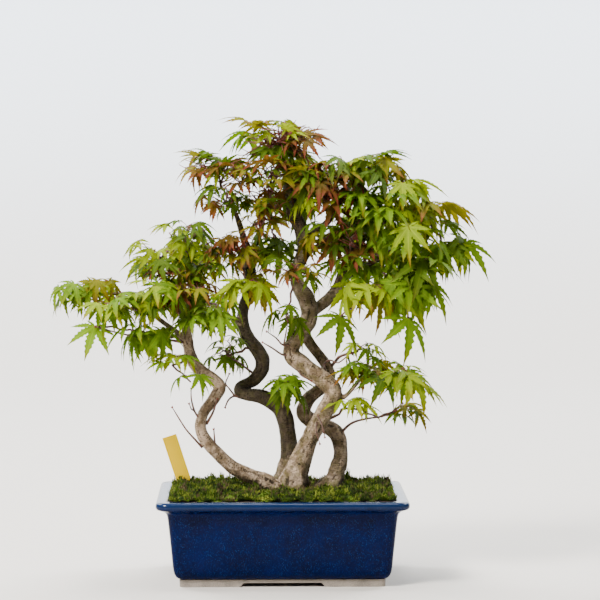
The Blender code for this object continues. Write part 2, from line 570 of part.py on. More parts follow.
def make_bough(name, limb, points, limbs):
    """A bough that springs from the side of a limb, its foot just clear of the bark."""
    samples, _ = smooth_path(points, BOUGH_STEP)
    along = (samples[1][0] - samples[0][0]).normalized()
    radius = samples[0][1]
    reach = clear_start(bvh_of([limbs[limb]]), samples[0][0], along, radius)
    start = samples[0][0] + along * reach
    rest = [s for s in samples[1:] if (s[0] - start).length > FOOT_CLEAR and (s[0] - start).dot(along) > 0]
    run = [(start, radius), (start + along * STRAIGHT_END, radius)] + rest
    return tube(name, run, 1), run


# ---- leaf masses ----------------------------------------------------------------------------------------
def leaf_outline(length):
    """The five-lobed outline of a leaf as (x, y, z): midrib along +X, tips hanging below the stalk's end."""
    points = []
    for k, (angle, share) in enumerate(LEAF_LOBES):
        points.append((math.radians(angle), share))
        if k + 1 < len(LEAF_LOBES):
            points.append((math.radians((angle + LEAF_LOBES[k + 1][0]) / 2), LEAF_NOTCH))
    return [Vector((r * math.cos(a), r * math.sin(a), -LEAF_SAG * r * r)) * length for a, r in points]


def leaf_solid(length, matrix, root=None):
    """A leaf blade, thickest near its base and thinning to its edge, with a stalk to a root point."""
    bm = bmesh.new()
    half = length * LEAF_THICKNESS / 2
    rim = [bm.verts.new(matrix @ point) for point in leaf_outline(length)]
    top = bm.verts.new(matrix @ Vector((BLADE_PEAK * length, 0, half)))
    below = bm.verts.new(matrix @ Vector((BLADE_PEAK * length, 0, -half)))
    back = BLADE_BACK * length
    corners = [(0.0, 1.0), (0.87, -0.5), (-0.87, -0.5)]  # top, left and right of the stalk
    socket = [bm.verts.new(matrix @ (Vector((back, 0, 0))
                                     + Vector((-0.67 * z - 0.23, y, 0.67 * z - 0.17)) * PETIOLE_RADIUS))
              for y, z in corners]
    if root is None:
        bm.faces.new((socket[0], socket[2], socket[1]))
    else:
        away = (root - matrix @ Vector((back, 0, 0))).normalized()
        side = matrix.to_3x3() @ Vector((0, 1, 0))
        side = (side - away * side.dot(away)).normalized()
        rise = side.cross(away)
        foot = [bm.verts.new(root + (side * y + rise * z) * PETIOLE_RADIUS * STALK_TAPER) for y, z in corners]
        for i in range(3):
            j = (i + 1) % 3
            bm.faces.new((socket[i], socket[j], foot[j]))
            bm.faces.new((socket[i], foot[j], foot[i]))
        bm.faces.new(foot)
    ring = [socket[2], *rim, socket[1]]
    for a, b in zip(ring, ring[1:]):
        bm.faces.new((a, b, top))
        bm.faces.new((b, a, below))
    bm.faces.new((socket[1], socket[0], top))
    bm.faces.new((socket[0], socket[2], top))
    bm.faces.new((socket[2], socket[1], below))
    bmesh.ops.recalc_face_normals(bm, faces=bm.faces)
    return bm


def tree_of(bm, grow=0.0):
    """A BVH tree of a bmesh in millimetres, optionally swollen about its own middle."""
    middle = sum((vert.co for vert in bm.verts), Vector()) / len(bm.verts)
    verts = [vert.co + (vert.co - middle).normalized() * grow for vert in bm.verts]
    return BVHTree.FromPolygons(verts, [[vert.index for vert in face.verts] for face in bm.faces])


def indexed(bm):
    bm.verts.index_update()
    bm.verts.ensure_lookup_table()
    return bm


def share_of(point, pads):
    """How deep a point lies in a mass's space: under 1 inside its pads' reach."""
    return min(math.sqrt(sum(((point[i] - centre[i]) / (half[i] + LEAF_ROOM * length)) ** 2 for i in range(3)))
               for centre, half, _, length, _ in pads)


def in_own_space(points, name):
    """True where the points lie within the mass's reach and in no other mass's space."""
    for point in points:
        own = share_of(point, MASSES[name][2])
        others = (mass[2] for key, mass in MASSES.items() if key != name)
        if own > SPACE_REACH or any(share_of(point, pads) < own - SPACE_MARGIN for pads in others):
            return False
    return True


def leaf_matrix(hub, azimuth, droop, roll):
    """Places a leaf: midrib along the azimuth and down by the droop, blade facing up and outwards."""
    return (Matrix.Translation(hub) @ Matrix.Rotation(math.radians(azimuth), 4, "Z")
            @ Matrix.Rotation(math.radians(droop), 4, "Y") @ Matrix.Rotation(math.radians(roll), 4, "X"))


def crosses_itself(bm):
    """True where two faces that share no corner meet, as when a stalk runs back through its own blade."""
    bm.faces.ensure_lookup_table()
    own = tree_of(bm)
    return any(first < second and not set(bm.faces[first].verts) & set(bm.faces[second].verts)
               for first, second in own.overlap(own))


def touches(bm, trees, grow):
    own = tree_of(bm, grow)
    return any(own.overlap(tree) for tree in trees)


def stem_start(limb, share, first, limbs, paths):
    """Where a mass's stem begins, 0.3 mm clear of its limb: (start, knee, radius)."""
    run = paths[limb]
    if share >= 1.0:
        along = (run[-1][0] - run[-2][0]).normalized()
        tip, tip_radius = run[-1]
        return tip + along * GAP, tip + along * (GAP + TIP_KNEE), min(STEM_RADIUS, tip_radius * STEM_SHRINK)
    spot, _ = run[round(share * (len(run) - 1))]
    along = (first - spot).normalized()
    start = spot + along * clear_start(bvh_of([limbs[limb]]), spot, along, STEM_RADIUS)
    return start, start + along * SIDE_KNEE, STEM_RADIUS


def stem_solid(points, radii):
    """A three-sided tapering stem through a run of points."""
    bm = bmesh.new()
    rows, side = [], None
    for i, point in enumerate(points):
        along = (points[min(i + 1, len(points) - 1)] - points[max(i - 1, 0)]).normalized()
        side = (side - along * side.dot(along)).normalized() if side else along.orthogonal().normalized()
        across = along.cross(side)
        rows.append([bm.verts.new(point + (side * math.cos(turn) + across * math.sin(turn)) * radii[i])
                     for turn in (0.0, math.tau / 3, 2 * math.tau / 3)])
    for lower, upper in zip(rows, rows[1:]):
        for i in range(3):
            j = (i + 1) % 3
            bm.faces.new((lower[i], lower[j], upper[j]))
            bm.faces.new((lower[i], upper[j], upper[i]))
    bm.faces.new(rows[0][::-1])
    bm.faces.new(rows[-1])
    bmesh.ops.recalc_face_normals(bm, faces=bm.faces)
    return indexed(bm)


def pad_points(node, centre, half, count, bearing):
    """Where a pad's stem ends, the top of its spine, and the tips of its side twigs."""
    if count <= 1:
        outward = Vector((math.cos(math.radians(bearing)), math.sin(math.radians(bearing)), 0.0))
        behind = centre - outward * SINGLE_BACK + Vector((0, 0, SINGLE_RISE))
        return (behind if count else centre), None, []
    low = centre - Vector((0, 0, half[2] * 0.5 + PAD_DROP))
    lean = (low - node).normalized()
    top = None
    if count > 3:
        top = centre + Vector((lean.x * half[0], lean.y * half[1], half[2])) * SPINE_LEAN
    tips = []
    for k in range(max(0, (count - 2) // 4)):
        angle = math.radians(bearing + FIRST_TWIG_TURN + GOLDEN_TURN * k)
        reach = Vector((math.cos(angle), math.sin(angle), 0.0)) * TWIG_REACH
        tips.append(centre + Vector((half[0] * reach.x, half[1] * reach.y, -half[2] * 0.1)))
    return low, top, tips


def nearest_root(hub, rods, used):
    """The free place on the twigs for a stalk to this hub, and the twig it is on."""
    best = None
    for start, end, solid in rods:
        length = (end - start).length
        for k in range(max(1, int(0.75 * length / ROOT_SPACING))):
            spot = end - (end - start).normalized() * (1.2 + k * ROOT_SPACING)
            if any((spot - other).length < ROOT_SPACING * 0.9 for other in used):
                continue
            cost = abs((hub - spot).length - STALK_LENGTH)
            if best is None or cost < best[0]:
                best = (cost, spot, solid)
    return best[1:] if best else (None, None)


def grow_leaf(name, centre, half, level, azimuth, length, rods, used, trees, rng):
    """One leaf that stays in its mass's space, touches no limb and crosses no other leaf, or None."""
    ring = max(math.sqrt(max(0.0, 1.0 - level * level)), 0.5)
    for shrink in (1.0, 0.82):
        for turn, swell in TRIES:
            angle = math.radians(azimuth + turn)
            reach = [max(side * swell * ring, 7.0 if side > 1 else 0.0) for side in half[:2]]
            hub = centre + Vector((reach[0] * math.cos(angle), reach[1] * math.sin(angle),
                                   half[2] * level * swell))
            droop = LEAF_DROOP + 30 * (0.4 - level) + rng.uniform(-9, 9)
            size = length * shrink * rng.uniform(0.9, 1.04)
            matrix = leaf_matrix(hub, azimuth + turn, droop, rng.uniform(-12, 12))
            root, rod = nearest_root(hub, rods, used)
            rim = [matrix @ p for p in leaf_outline(size)]
            if root is None or not in_own_space(rim + [hub], name):
                continue
            blade = indexed(leaf_solid(size, matrix, root))
            if crosses_itself(blade) or touches(blade, trees["limbs"], LEAF_CLEAR):
                continue
            whole = tree_of(blade, 0.15)
            bare = tree_of(indexed(leaf_solid(size, matrix)), 0.15)
            others = [twig for k, twig in enumerate(trees["rods"]) if k != rod] + trees["leaves"]
            if any(bare.overlap(twig) for twig in trees["rods"]):
                continue
            if any(whole.overlap(other) for other in others):
                continue
            used.append(root)
            trees["leaves"].append(whole)
            return blade
    return None


def grow_mass(name, limbs, paths, obstacles, rng):
    """One leaf mass: a stem from its limb through its pads, side twigs at each, and leaves along them."""
    limb, share, pads = MASSES[name]
    start, knee, radius = stem_start(limb, share, Vector(pads[0][0]), limbs, paths)
    chain, solids, nodes, laid = [start, knee], [], [knee], []
    for centre, half, count, length, bearing in pads:
        middle = Vector(centre)
        parent = min(nodes, key=lambda node: (node - middle).length)
        low, top, tips = pad_points(parent, middle, half, count, bearing)
        rods = []
        if parent is chain[-1]:
            chain.append(low)
            rods.append((parent, low, 0))
        else:
            solids.append(stem_solid([parent, low], [SIDE_FOOT, SIDE_RADIUS]))
            rods.append((parent, low, len(solids)))
        nodes.append(low)
        for tip in ([top] if top else []) + tips:
            spring = low
            if tip is not top:
                down = min(TWIG_SPACING * (tips.index(tip) + 1), 0.6 * (low - parent).length)
                spring = low - (low - parent).normalized() * down
            twig = stem_solid([spring, tip], [SIDE_FOOT, SIDE_RADIUS])
            if touches(twig, obstacles, GAP):
                continue
            solids.append(twig)
            rods.append((spring, tip, len(solids)))
        laid.append((middle, half, count, length, bearing, rods))
    radii = [radius, radius] + [max(radius * STEM_SHRINK ** (k + 1), TWIG_RADIUS) for k in range(len(chain) - 2)]
    solids.insert(0, stem_solid(chain, radii))
    trees = {"limbs": obstacles, "rods": [tree_of(solid) for solid in solids], "leaves": []}
    used, leaves = [], []
    for middle, half, count, length, bearing, rods in laid:
        for i in range(count):
            level = 1.0 - LEVEL_SPAN * (i + 0.5) / count if count > 1 else 0.0
            azimuth = bearing + GOLDEN_TURN * i
            leaves.append(grow_leaf(name, middle, half, level, azimuth, length, rods, used, trees, rng))
    return solids + [leaf for leaf in leaves if leaf]


def main_body(obj):
    """Keep the largest connected body: loose scraps are dropped and sealed hollows filled."""
    bm = bmesh.new()
    bm.from_mesh(obj.data)
    bm.faces.ensure_lookup_table()
    seen, bodies = set(), []
    for seed in bm.faces:
        if seed in seen:
            continue
        stack, body = [seed], []
        seen.add(seed)
        while stack:
            face = stack.pop()
            body.append(face)
            for edge in face.edges:
                for other in edge.link_faces:
                    if other not in seen:
                        seen.add(other)
                        stack.append(other)
        bodies.append(body)
    bodies.sort(key=lambda body: abs(shell_volume(body)), reverse=True)
    for body in bodies[1:]:
        bmesh.ops.delete(bm, geom=body, context="FACES")
    bm.to_mesh(obj.data)
    bm.free()


def shell_volume(faces):
    """Signed volume within a closed shell of faces."""
    total = 0.0
    for face in faces:
        first = face.verts[0].co
        for a, b in zip(face.verts[1:], face.verts[2:]):
            total += first.dot(a.co.cross(b.co)) / 6.0
    return total


def closed(obj):
    bm = bmesh.new()
    bm.from_mesh(obj.data)
    good = bool(bm.edges) and all(len(edge.link_faces) == 2 for edge in bm.edges)
    bm.free()
    return good


def fuse(name, pieces):
    """One Boolean union of a mass's twigs and leaves."""
    for solver in ("MANIFOLD", "EXACT"):
        objects = []
        for k, piece in enumerate(pieces):
            copy = piece.copy()
            bmesh.ops.scale(copy, vec=(MM, MM, MM), verts=copy.verts)
            objects.append(mesh_object(f"{name}_{k}", copy, smooth=False))
        mass = objects[0]
        mass.name = name
        boolean(mass, objects[1:], "UNION", solver)
        main_body(mass)
        if closed(mass):
            return mass
    raise RuntimeError(f"{name} did not fuse")


def main():
    for obj in list(bpy.data.objects):
        bpy.data.objects.remove(obj)
    parts = bpy.data.collections.new("maple_bonsai")
    bpy.context.scene.collection.children.link(parts)
    centre = bpy.data.objects.new("maple_bonsai_frame", None)
    parts.objects.link(centre)

    glaze = material("blue_glaze", (0.02, 0.055, 0.17), 0.18)
    clay = material("bare_clay", (0.30, 0.27, 0.23), 0.85)
    earth = material("soil", (0.06, 0.04, 0.025), 0.95)
    moss = material("moss", (0.10, 0.14, 0.03), 0.95)
    yellow = material("yellow_plastic", (0.95, 0.68, 0.02), 0.45)
    pale_bark = material("pale_bark", (0.42, 0.32, 0.23), 0.85)
    dark_bark = material("dark_bark", (0.10, 0.09, 0.06), 0.9)
    leaf = material("leaf", (0.22, 0.33, 0.03), 0.6)

    place(make_pot(), parts, centre, glaze)
    place(make_foot(), parts, centre, clay)
    place(make_soil(), parts, centre, earth)
    place(make_moss(), parts, centre, moss)
    place(make_label(), parts, centre, yellow)

    limbs, paths = {}, {}
    root = make_roots()
    limbs[root.name] = place(root, parts, centre, pale_bark)
    for name, spec in TRUNKS.items():
        pieces, runs = make_trunk(name, spec)
        paths.update(runs)
        for piece in pieces:
            finish = dark_bark if name == "middle_trunk" else pale_bark
            limbs[piece.name] = place(piece, parts, centre, finish)
    for name, (limb, points) in BOUGHS.items():
        bough, run = make_bough(name, limb, points, limbs)
        paths[name] = run
        limbs[name] = place(bough, parts, centre, pale_bark)

    rng = random.Random(SEED)
    obstacles = [bvh_of(list(limbs.values()))]
    for name in MASSES:
        mass = fuse(name, grow_mass(name, limbs, paths, obstacles, rng))
        obstacles.append(bvh_of([place(mass, parts, centre, leaf)]))


if __name__ == "__main__":
    main()
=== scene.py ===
"""Looks of the maple bonsai: bark, twigs, leaves, moss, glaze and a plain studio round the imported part.

Sizes are in millimetres and scaled to metres where meshes are made. The limbs follow the part's own bend
points, and every leaf mass grows by the part's rule, carried on to finer twigs with a fan of leaves each.
In a finish, scales count features to a metre and heights are in metres.
"""

import logging
import math
import random
from dataclasses import dataclass, field
from enum import Enum
from typing import Any, Sequence

import bpy
import numpy as np
from mathutils import Matrix, Vector, noise
from mathutils.bvhtree import BVHTree
from mathutils.kdtree import KDTree


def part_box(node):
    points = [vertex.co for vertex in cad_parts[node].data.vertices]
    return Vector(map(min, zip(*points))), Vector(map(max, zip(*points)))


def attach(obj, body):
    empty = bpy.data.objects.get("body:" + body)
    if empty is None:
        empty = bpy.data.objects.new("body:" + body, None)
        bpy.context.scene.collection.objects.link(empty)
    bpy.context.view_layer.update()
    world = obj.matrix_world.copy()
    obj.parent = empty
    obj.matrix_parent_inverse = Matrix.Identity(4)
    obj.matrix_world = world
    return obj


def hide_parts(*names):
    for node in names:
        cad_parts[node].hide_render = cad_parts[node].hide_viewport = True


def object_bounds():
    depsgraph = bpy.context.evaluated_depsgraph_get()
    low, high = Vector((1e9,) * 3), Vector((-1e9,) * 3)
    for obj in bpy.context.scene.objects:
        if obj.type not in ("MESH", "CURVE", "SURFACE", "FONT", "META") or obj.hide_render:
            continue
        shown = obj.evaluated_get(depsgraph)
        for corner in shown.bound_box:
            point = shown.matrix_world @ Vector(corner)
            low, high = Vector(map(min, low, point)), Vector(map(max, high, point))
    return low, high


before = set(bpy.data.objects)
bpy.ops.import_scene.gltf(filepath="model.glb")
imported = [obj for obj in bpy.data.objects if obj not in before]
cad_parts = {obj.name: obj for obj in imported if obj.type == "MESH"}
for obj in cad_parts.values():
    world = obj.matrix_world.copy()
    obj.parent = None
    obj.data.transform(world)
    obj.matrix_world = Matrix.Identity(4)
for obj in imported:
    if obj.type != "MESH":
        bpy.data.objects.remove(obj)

CAD_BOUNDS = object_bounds()
MM = 0.001
SEED = 41
GOLDEN_TURN = 137.5  # degrees from one twig or spray to the next round a stem

Colour = tuple[float, float, float]
Triple = tuple[float, float, float]
Span = tuple[float, float]
Triangle = tuple[int, int, int]
PathPoint = tuple[float, float, float, float]
Rod = tuple[Vector, Vector]
log = logging.getLogger("bonsai")


# ---- shader building ----------------------------------------------------------------------------------
class Field:
    """A value socket that takes part in Python arithmetic by adding Math nodes."""

    def __init__(self, shader: "Shader", socket: bpy.types.NodeSocket) -> None:
        """Wraps an output socket of a shader's tree."""
        self.shader = shader
        self.socket = socket

    def math(self, operation: str, *others: "Field | float", clamp: bool = False) -> "Field":
        """Adds a Math node with this socket first.

        Args:
            operation: The Math node's operation.
            others: The values of its other sockets.
            clamp: Whether its result is kept between 0 and 1.

        Returns:
            The node's result.
        """
        return self.shader.maths(operation, self, *others, clamp=clamp)

    def __add__(self, other: "Field | float") -> "Field":
        """Adds another value."""
        return self.math("ADD", other)

    __radd__ = __add__

    def __mul__(self, other: "Field | float") -> "Field":
        """Multiplies by another value."""
        return self.math("MULTIPLY", other)

    __rmul__ = __mul__

    def __sub__(self, other: "Field | float") -> "Field":
        """Takes another value away."""
        return self.math("SUBTRACT", other)

    def __rsub__(self, other: float) -> "Field":
        """Takes this value away from a number."""
        return self.shader.maths("SUBTRACT", other, self)

    def clamped(self) -> "Field":
        """Keeps the value between 0 and 1."""
        return self.math("ADD", 0.0, clamp=True)

    def at_most(self, most: float) -> "Field":
        """Keeps the value under a number."""
        return self.math("MINIMUM", most)

    def band(self, low: float, high: float) -> "Field":
        """A smooth step from 0 at low to 1 at high.

        Args:
            low: Where the step starts.
            high: Where it ends.

        Returns:
            The stepped value.
        """
        made = self.shader.node(
            "ShaderNodeMapRange",
            {"interpolation_type": "SMOOTHSTEP"},
            {"Value": self, "From Min": low, "From Max": high},
        )
        return Field(self.shader, made.outputs["Result"])


class Shader:
    """One material's node tree, with one method that adds any node."""

    def __init__(self, name: str) -> None:
        """Makes a material with its Principled node ready.

        Args:
            name: The material's name.
        """
        self.material = bpy.data.materials.new(name)
        self.material.use_nodes = True
        self.tree = self.material.node_tree
        self.principled = self.tree.nodes["Principled BSDF"]

    def node(self, kind: str, settings: dict[str, Any] | None = None,
             sockets: dict[str | int, Any] | None = None) -> bpy.types.Node:
        """Adds a node, sets it up, then fills its sockets.

        Args:
            kind: The node's type.
            settings: Its properties.
            sockets: Values or links of its input sockets.

        Returns:
            The new node.
        """
        made = self.tree.nodes.new(kind)
        for key, value in (settings or {}).items():
            setattr(made, key, value)
        for key, value in (sockets or {}).items():
            self.feed(made.inputs[key], value)
        return made

    def feed(self, socket: bpy.types.NodeSocket, value: Any) -> None:
        """Links a socket to a Field or another socket, or sets its own value.

        Args:
            socket: The input socket.
            value: A Field, an output socket, a number or a tuple.
        """
        if isinstance(value, Field):
            self.tree.links.new(value.socket, socket)
        elif isinstance(value, bpy.types.NodeSocket):
            self.tree.links.new(value, socket)
        elif socket.type == "RGBA" and len(value) == 3:
            socket.default_value = (*value, 1.0)
        else:
            socket.default_value = value

    def maths(self, operation: str, *values: "Field | float", clamp: bool = False) -> Field:
        """Adds a Math node.

        Args:
            operation: Its operation.
            values: The values of its sockets.
            clamp: Whether its result is kept between 0 and 1.

        Returns:
            Its result.
        """
        settings = {"operation": operation, "use_clamp": clamp}
        return Field(self, self.node("ShaderNodeMath", settings, dict(enumerate(values))).outputs[0])

    def place(self, stretch: Triple = (1.0, 1.0, 1.0)) -> bpy.types.NodeSocket:
        """The surface point in the part's own frame, scaled along each axis.

        Args:
            stretch: The factor for each axis.

        Returns:
            A vector socket.
        """
        coords = self.node("ShaderNodeTexCoord").outputs["Object"]
        sockets = {0: coords, 1: stretch}
        return self.node("ShaderNodeVectorMath", {"operation": "MULTIPLY"}, sockets).outputs[0]

    def height(self) -> Field:
        """The surface point's height over the pot's underside, in metres."""
        return Field(self, self.node("ShaderNodeSeparateXYZ", {}, {0: self.place()}).outputs[2])

    def clouds(self, scale: float, detail: float = 4.0, stretch: Triple = (1.0, 1.0, 1.0)) -> Field:
        """Fractal noise over the surface, from 0 to 1.

        Args:
            scale: Features to a metre.
            detail: Octaves.
            stretch: The factor for each axis before the noise.

        Returns:
            The noise value.
        """
        sockets = {"Vector": self.place(stretch), "Scale": scale, "Detail": detail}
        return Field(self, self.node("ShaderNodeTexNoise", {}, sockets).outputs["Fac"])

    def cells(self, scale: float, stretch: Triple = (1.0, 1.0, 1.0)) -> Field:
        """Distance to the nearest point of a cell pattern over the surface.

        Args:
            scale: Cells to a metre.
            stretch: The factor for each axis before the pattern.

        Returns:
            The distance.
        """
        sockets = {"Vector": self.place(stretch), "Scale": scale}
        return Field(self, self.node("ShaderNodeTexVoronoi", {"feature": "F1"}, sockets).outputs["Distance"])

    def blend(self, first: Any, second: Any, share: "Field | float") -> bpy.types.NodeSocket:
        """Mixes two colours.

        Args:
            first: The colour at share 0.
            second: The colour at share 1.
            share: How much of the second.

        Returns:
            A colour socket.
        """
        made = self.node("ShaderNodeMix", {"data_type": "RGBA"}, {0: share, 6: first, 7: second})
        return made.outputs[2]

    def marks(self, name: str) -> tuple[Field, ...]:
        """The three numbers that a mesh stores at its points.

        Args:
            name: The attribute's name.

        Returns:
            The three values.
        """
        read = self.node("ShaderNodeAttribute", {"attribute_name": name})
        split = self.node("ShaderNodeSeparateXYZ", {}, {0: read.outputs["Vector"]})
        return tuple(Field(self, split.outputs[k]) for k in range(3))

    def finish(self, colour: Any, roughness: Any, height: Field | None = None, depth: float = 0.001,
               strength: float = 1.0, **others: Any) -> bpy.types.Material:
        """Joins the Principled node up and returns the material.

        Args:
            colour: The base colour.
            roughness: The roughness.
            height: The relief, from 0 to 1.
            depth: The relief's depth in metres.
            strength: The bump's strength.
            others: Other sockets by name, with spaces as underscores.

        Returns:
            The material.
        """
        self.feed(self.principled.inputs["Base Color"], colour)
        self.feed(self.principled.inputs["Roughness"], roughness)
        for name, value in others.items():
            self.feed(self.principled.inputs[name.replace("_", " ")], value)
        if height is not None:
            sockets = {"Height": height, "Distance": depth, "Strength": strength}
            bump = self.node("ShaderNodeBump", {}, sockets)
            self.feed(self.principled.inputs["Normal"], bump.outputs[0])
        return self.material


# ---- finishes -----------------------------------------------------------------------------------------
@dataclass(frozen=True)
class BlueGlaze:
    """Deep blue glaze: darker pools, paler mist and specks; the lip paler, from thin glaze and a painted
    reflection.
    """

    deep: Colour = (0.0002, 0.0014, 0.0160)
    mid: Colour = (0.0002, 0.0034, 0.0400)
    mist: Colour = (0.0004, 0.0095, 0.0740)
    speck: Colour = (0.006, 0.040, 0.150)
    # the lip's tone: partly glaze breaking thin on the edge, partly a painted reflection
    thin: Colour = (0.007, 0.021, 0.062)
    pool_scale: float = 38.0
    pool_step: Span = (0.25, 0.8)
    run_scale: float = 120.0
    run_stretch: Triple = (1.0, 1.0, 0.16)
    mist_scale: float = 620.0
    mist_stretch: Triple = (1.0, 1.0, 0.7)
    mist_step: Span = (0.48, 0.70)
    mist_share: float = 0.45
    speck_scale: float = 640.0
    speck_stretch: Triple = (1.0, 1.0, 0.6)
    speck_step: Span = (0.08, 0.42)
    speck_patch_scale: float = 90.0
    speck_patch_step: Span = (0.36, 0.66)
    speck_share: float = 0.5
    fleck_scale: float = 260.0
    fleck_stretch: Triple = (1.0, 1.0, 0.5)
    fleck_step: Span = (0.04, 0.13)
    fleck_share: float = 0.35
    speck_most: float = 0.8
    lip_step: Span = (0.0915, 0.1035)
    lip_waver_scale: float = 55.0
    lip_waver: float = 0.004
    lip_share: float = 0.75
    lip_coat: float = 0.36
    wall_coat: float = 0.04
    coat_roughness: float = 0.10
    roughness: float = 0.16
    specular: float = 0.04
    relief_scale: float = 70.0
    relief_depth: float = 0.0006
    relief_strength: float = 0.35

    def make(self) -> bpy.types.Material:
        """Builds the glaze.

        Returns:
            The material.
        """
        s = Shader("blue_glaze")
        runs = s.clouds(self.run_scale, 3.0, self.run_stretch)
        pools = (s.clouds(self.pool_scale, 5.0) * 0.7 + runs * 0.3).band(*self.pool_step)
        pooled = s.blend(self.deep, self.mid, pools)
        mist = s.clouds(self.mist_scale, 3.0, self.mist_stretch).band(*self.mist_step) * self.mist_share
        misty = s.blend(pooled, self.mist, mist)
        specks = 1 - s.cells(self.speck_scale, self.speck_stretch).band(*self.speck_step)
        gated = specks * s.clouds(self.speck_patch_scale, 3.0).band(*self.speck_patch_step)
        flecks = (1 - s.cells(self.fleck_scale, self.fleck_stretch).band(*self.fleck_step)) * self.fleck_share
        speckled = s.blend(misty, self.speck, (gated * self.speck_share + flecks).at_most(self.speck_most))
        waver = (s.clouds(self.lip_waver_scale, 3.0) - 0.5) * self.lip_waver
        lip = (s.height() + waver).band(*self.lip_step)
        # The lip's paler grey-blue is partly the glaze breaking thin and partly a painted reflection.
        colour = s.blend(speckled, self.thin, lip * self.lip_share)
        relief = s.clouds(self.relief_scale, 3.0) * 0.7 + runs * 0.3
        coat = lip * (self.lip_coat - self.wall_coat) + self.wall_coat
        return s.finish(colour, self.roughness, relief, self.relief_depth, self.relief_strength,
                        Coat_Weight=coat, Coat_Roughness=self.coat_roughness,
                        Specular_IOR_Level=self.specular)


@dataclass(frozen=True)
class BareClay:
    """Unglazed grey-tan stoneware with fine grit."""

    pale: Colour = (0.30, 0.26, 0.215)
    dark: Colour = (0.16, 0.135, 0.11)
    patch_scale: float = 60.0
    patch_step: Span = (0.3, 0.75)
    grit_scale: float = 900.0
    grit_depth: float = 0.0003
    roughness: float = 0.85

    def make(self) -> bpy.types.Material:
        """Builds the clay.

        Returns:
            The material.
        """
        s = Shader("bare_clay")
        grit = s.clouds(self.grit_scale, 3.0)
        patches = (s.clouds(self.patch_scale) * 0.6 + grit * 0.5).band(*self.patch_step)
        return s.finish(s.blend(self.dark, self.pale, patches), self.roughness, grit, self.grit_depth, 0.6)


@dataclass(frozen=True)
class Earth:
    """Dark crumbly soil."""

    dark: Colour = (0.028, 0.018, 0.010)
    pale: Colour = (0.11, 0.075, 0.045)
    crumb_scale: float = 320.0
    crumb_depth: float = 0.0012
    patch_scale: float = 90.0
    patch_step: Span = (0.25, 0.95)
    roughness: float = 0.95

    def make(self) -> bpy.types.Material:
        """Builds the soil.

        Returns:
            The material.
        """
        s = Shader("soil")
        crumbs = s.cells(self.crumb_scale)
        patches = (crumbs + s.clouds(self.patch_scale) * 0.5).band(*self.patch_step)
        return s.finish(s.blend(self.dark, self.pale, patches), self.roughness, crumbs, self.crumb_depth, 0.8)


@dataclass(frozen=True)
class Moss:
    """Soft moss in one leading colour, with drier and darker patches."""

    name: str
    lit: Colour
    dim: Colour
    patch_scale: float = 75.0
    patch_step: Span = (0.36, 0.62)
    fuzz_scale: float = 1100.0
    fuzz_depth: float = 0.0008
    roughness: float = 0.95

    def make(self) -> bpy.types.Material:
        """Builds the moss.

        Returns:
            The material.
        """
        s = Shader(self.name)
        patches = s.clouds(self.patch_scale, 5.0).band(*self.patch_step)
        fuzz = s.clouds(self.fuzz_scale, 2.0)
        return s.finish(s.blend(self.dim, self.lit, patches), self.roughness, fuzz, self.fuzz_depth, 0.8,
                        Specular_IOR_Level=0.1)


class MossTint(Enum):
    """The moss colours, each dealt out sprig by sprig."""

    GREEN = Moss("moss_green", (0.075, 0.120, 0.010), (0.018, 0.034, 0.006))
    YELLOW = Moss("moss_yellow", (0.22, 0.25, 0.030), (0.080, 0.10, 0.012))
    BROWN = Moss("moss_brown", (0.115, 0.080, 0.038), (0.03, 0.022, 0.012))


@dataclass(frozen=True)
class LabelPlastic:
    """Matt yellow plastic, darker and browner towards its foot, with a faint painted glow."""

    yellow: Colour = (0.86, 0.56, 0.0)
    # a darker, browner colour towards the label's foot, just above the moss
    foot_tone: Colour = (0.45, 0.30, 0.03)
    # painted glow: a faint yellow emission, though the label is no lamp
    glow: Colour = (1.0, 0.58, 0.0)
    painted_glow_strength: float = 0.10
    foot_step: Span = (0.106, 0.118)
    foot_share: float = 0.6
    waver_scale: float = 160.0
    waver: float = 0.014
    grain_scale: float = 700.0
    grain_depth: float = 0.0001
    roughness: float = 0.5

    def make(self) -> bpy.types.Material:
        """Builds the plastic.

        Returns:
            The material.
        """
        s = Shader("yellow_plastic")
        height = s.height() + (s.clouds(self.waver_scale) - 0.5) * self.waver
        # Darker and browner towards the foot.
        colour = s.blend(self.yellow, self.foot_tone, (1 - height.band(*self.foot_step)) * self.foot_share)
        grain = s.clouds(self.grain_scale, 2.0)
        # The emission is a painted glow.
        return s.finish(colour, self.roughness, grain, self.grain_depth, 0.3, Specular_IOR_Level=0.0,
                        Emission_Color=self.glow, Emission_Strength=self.painted_glow_strength)


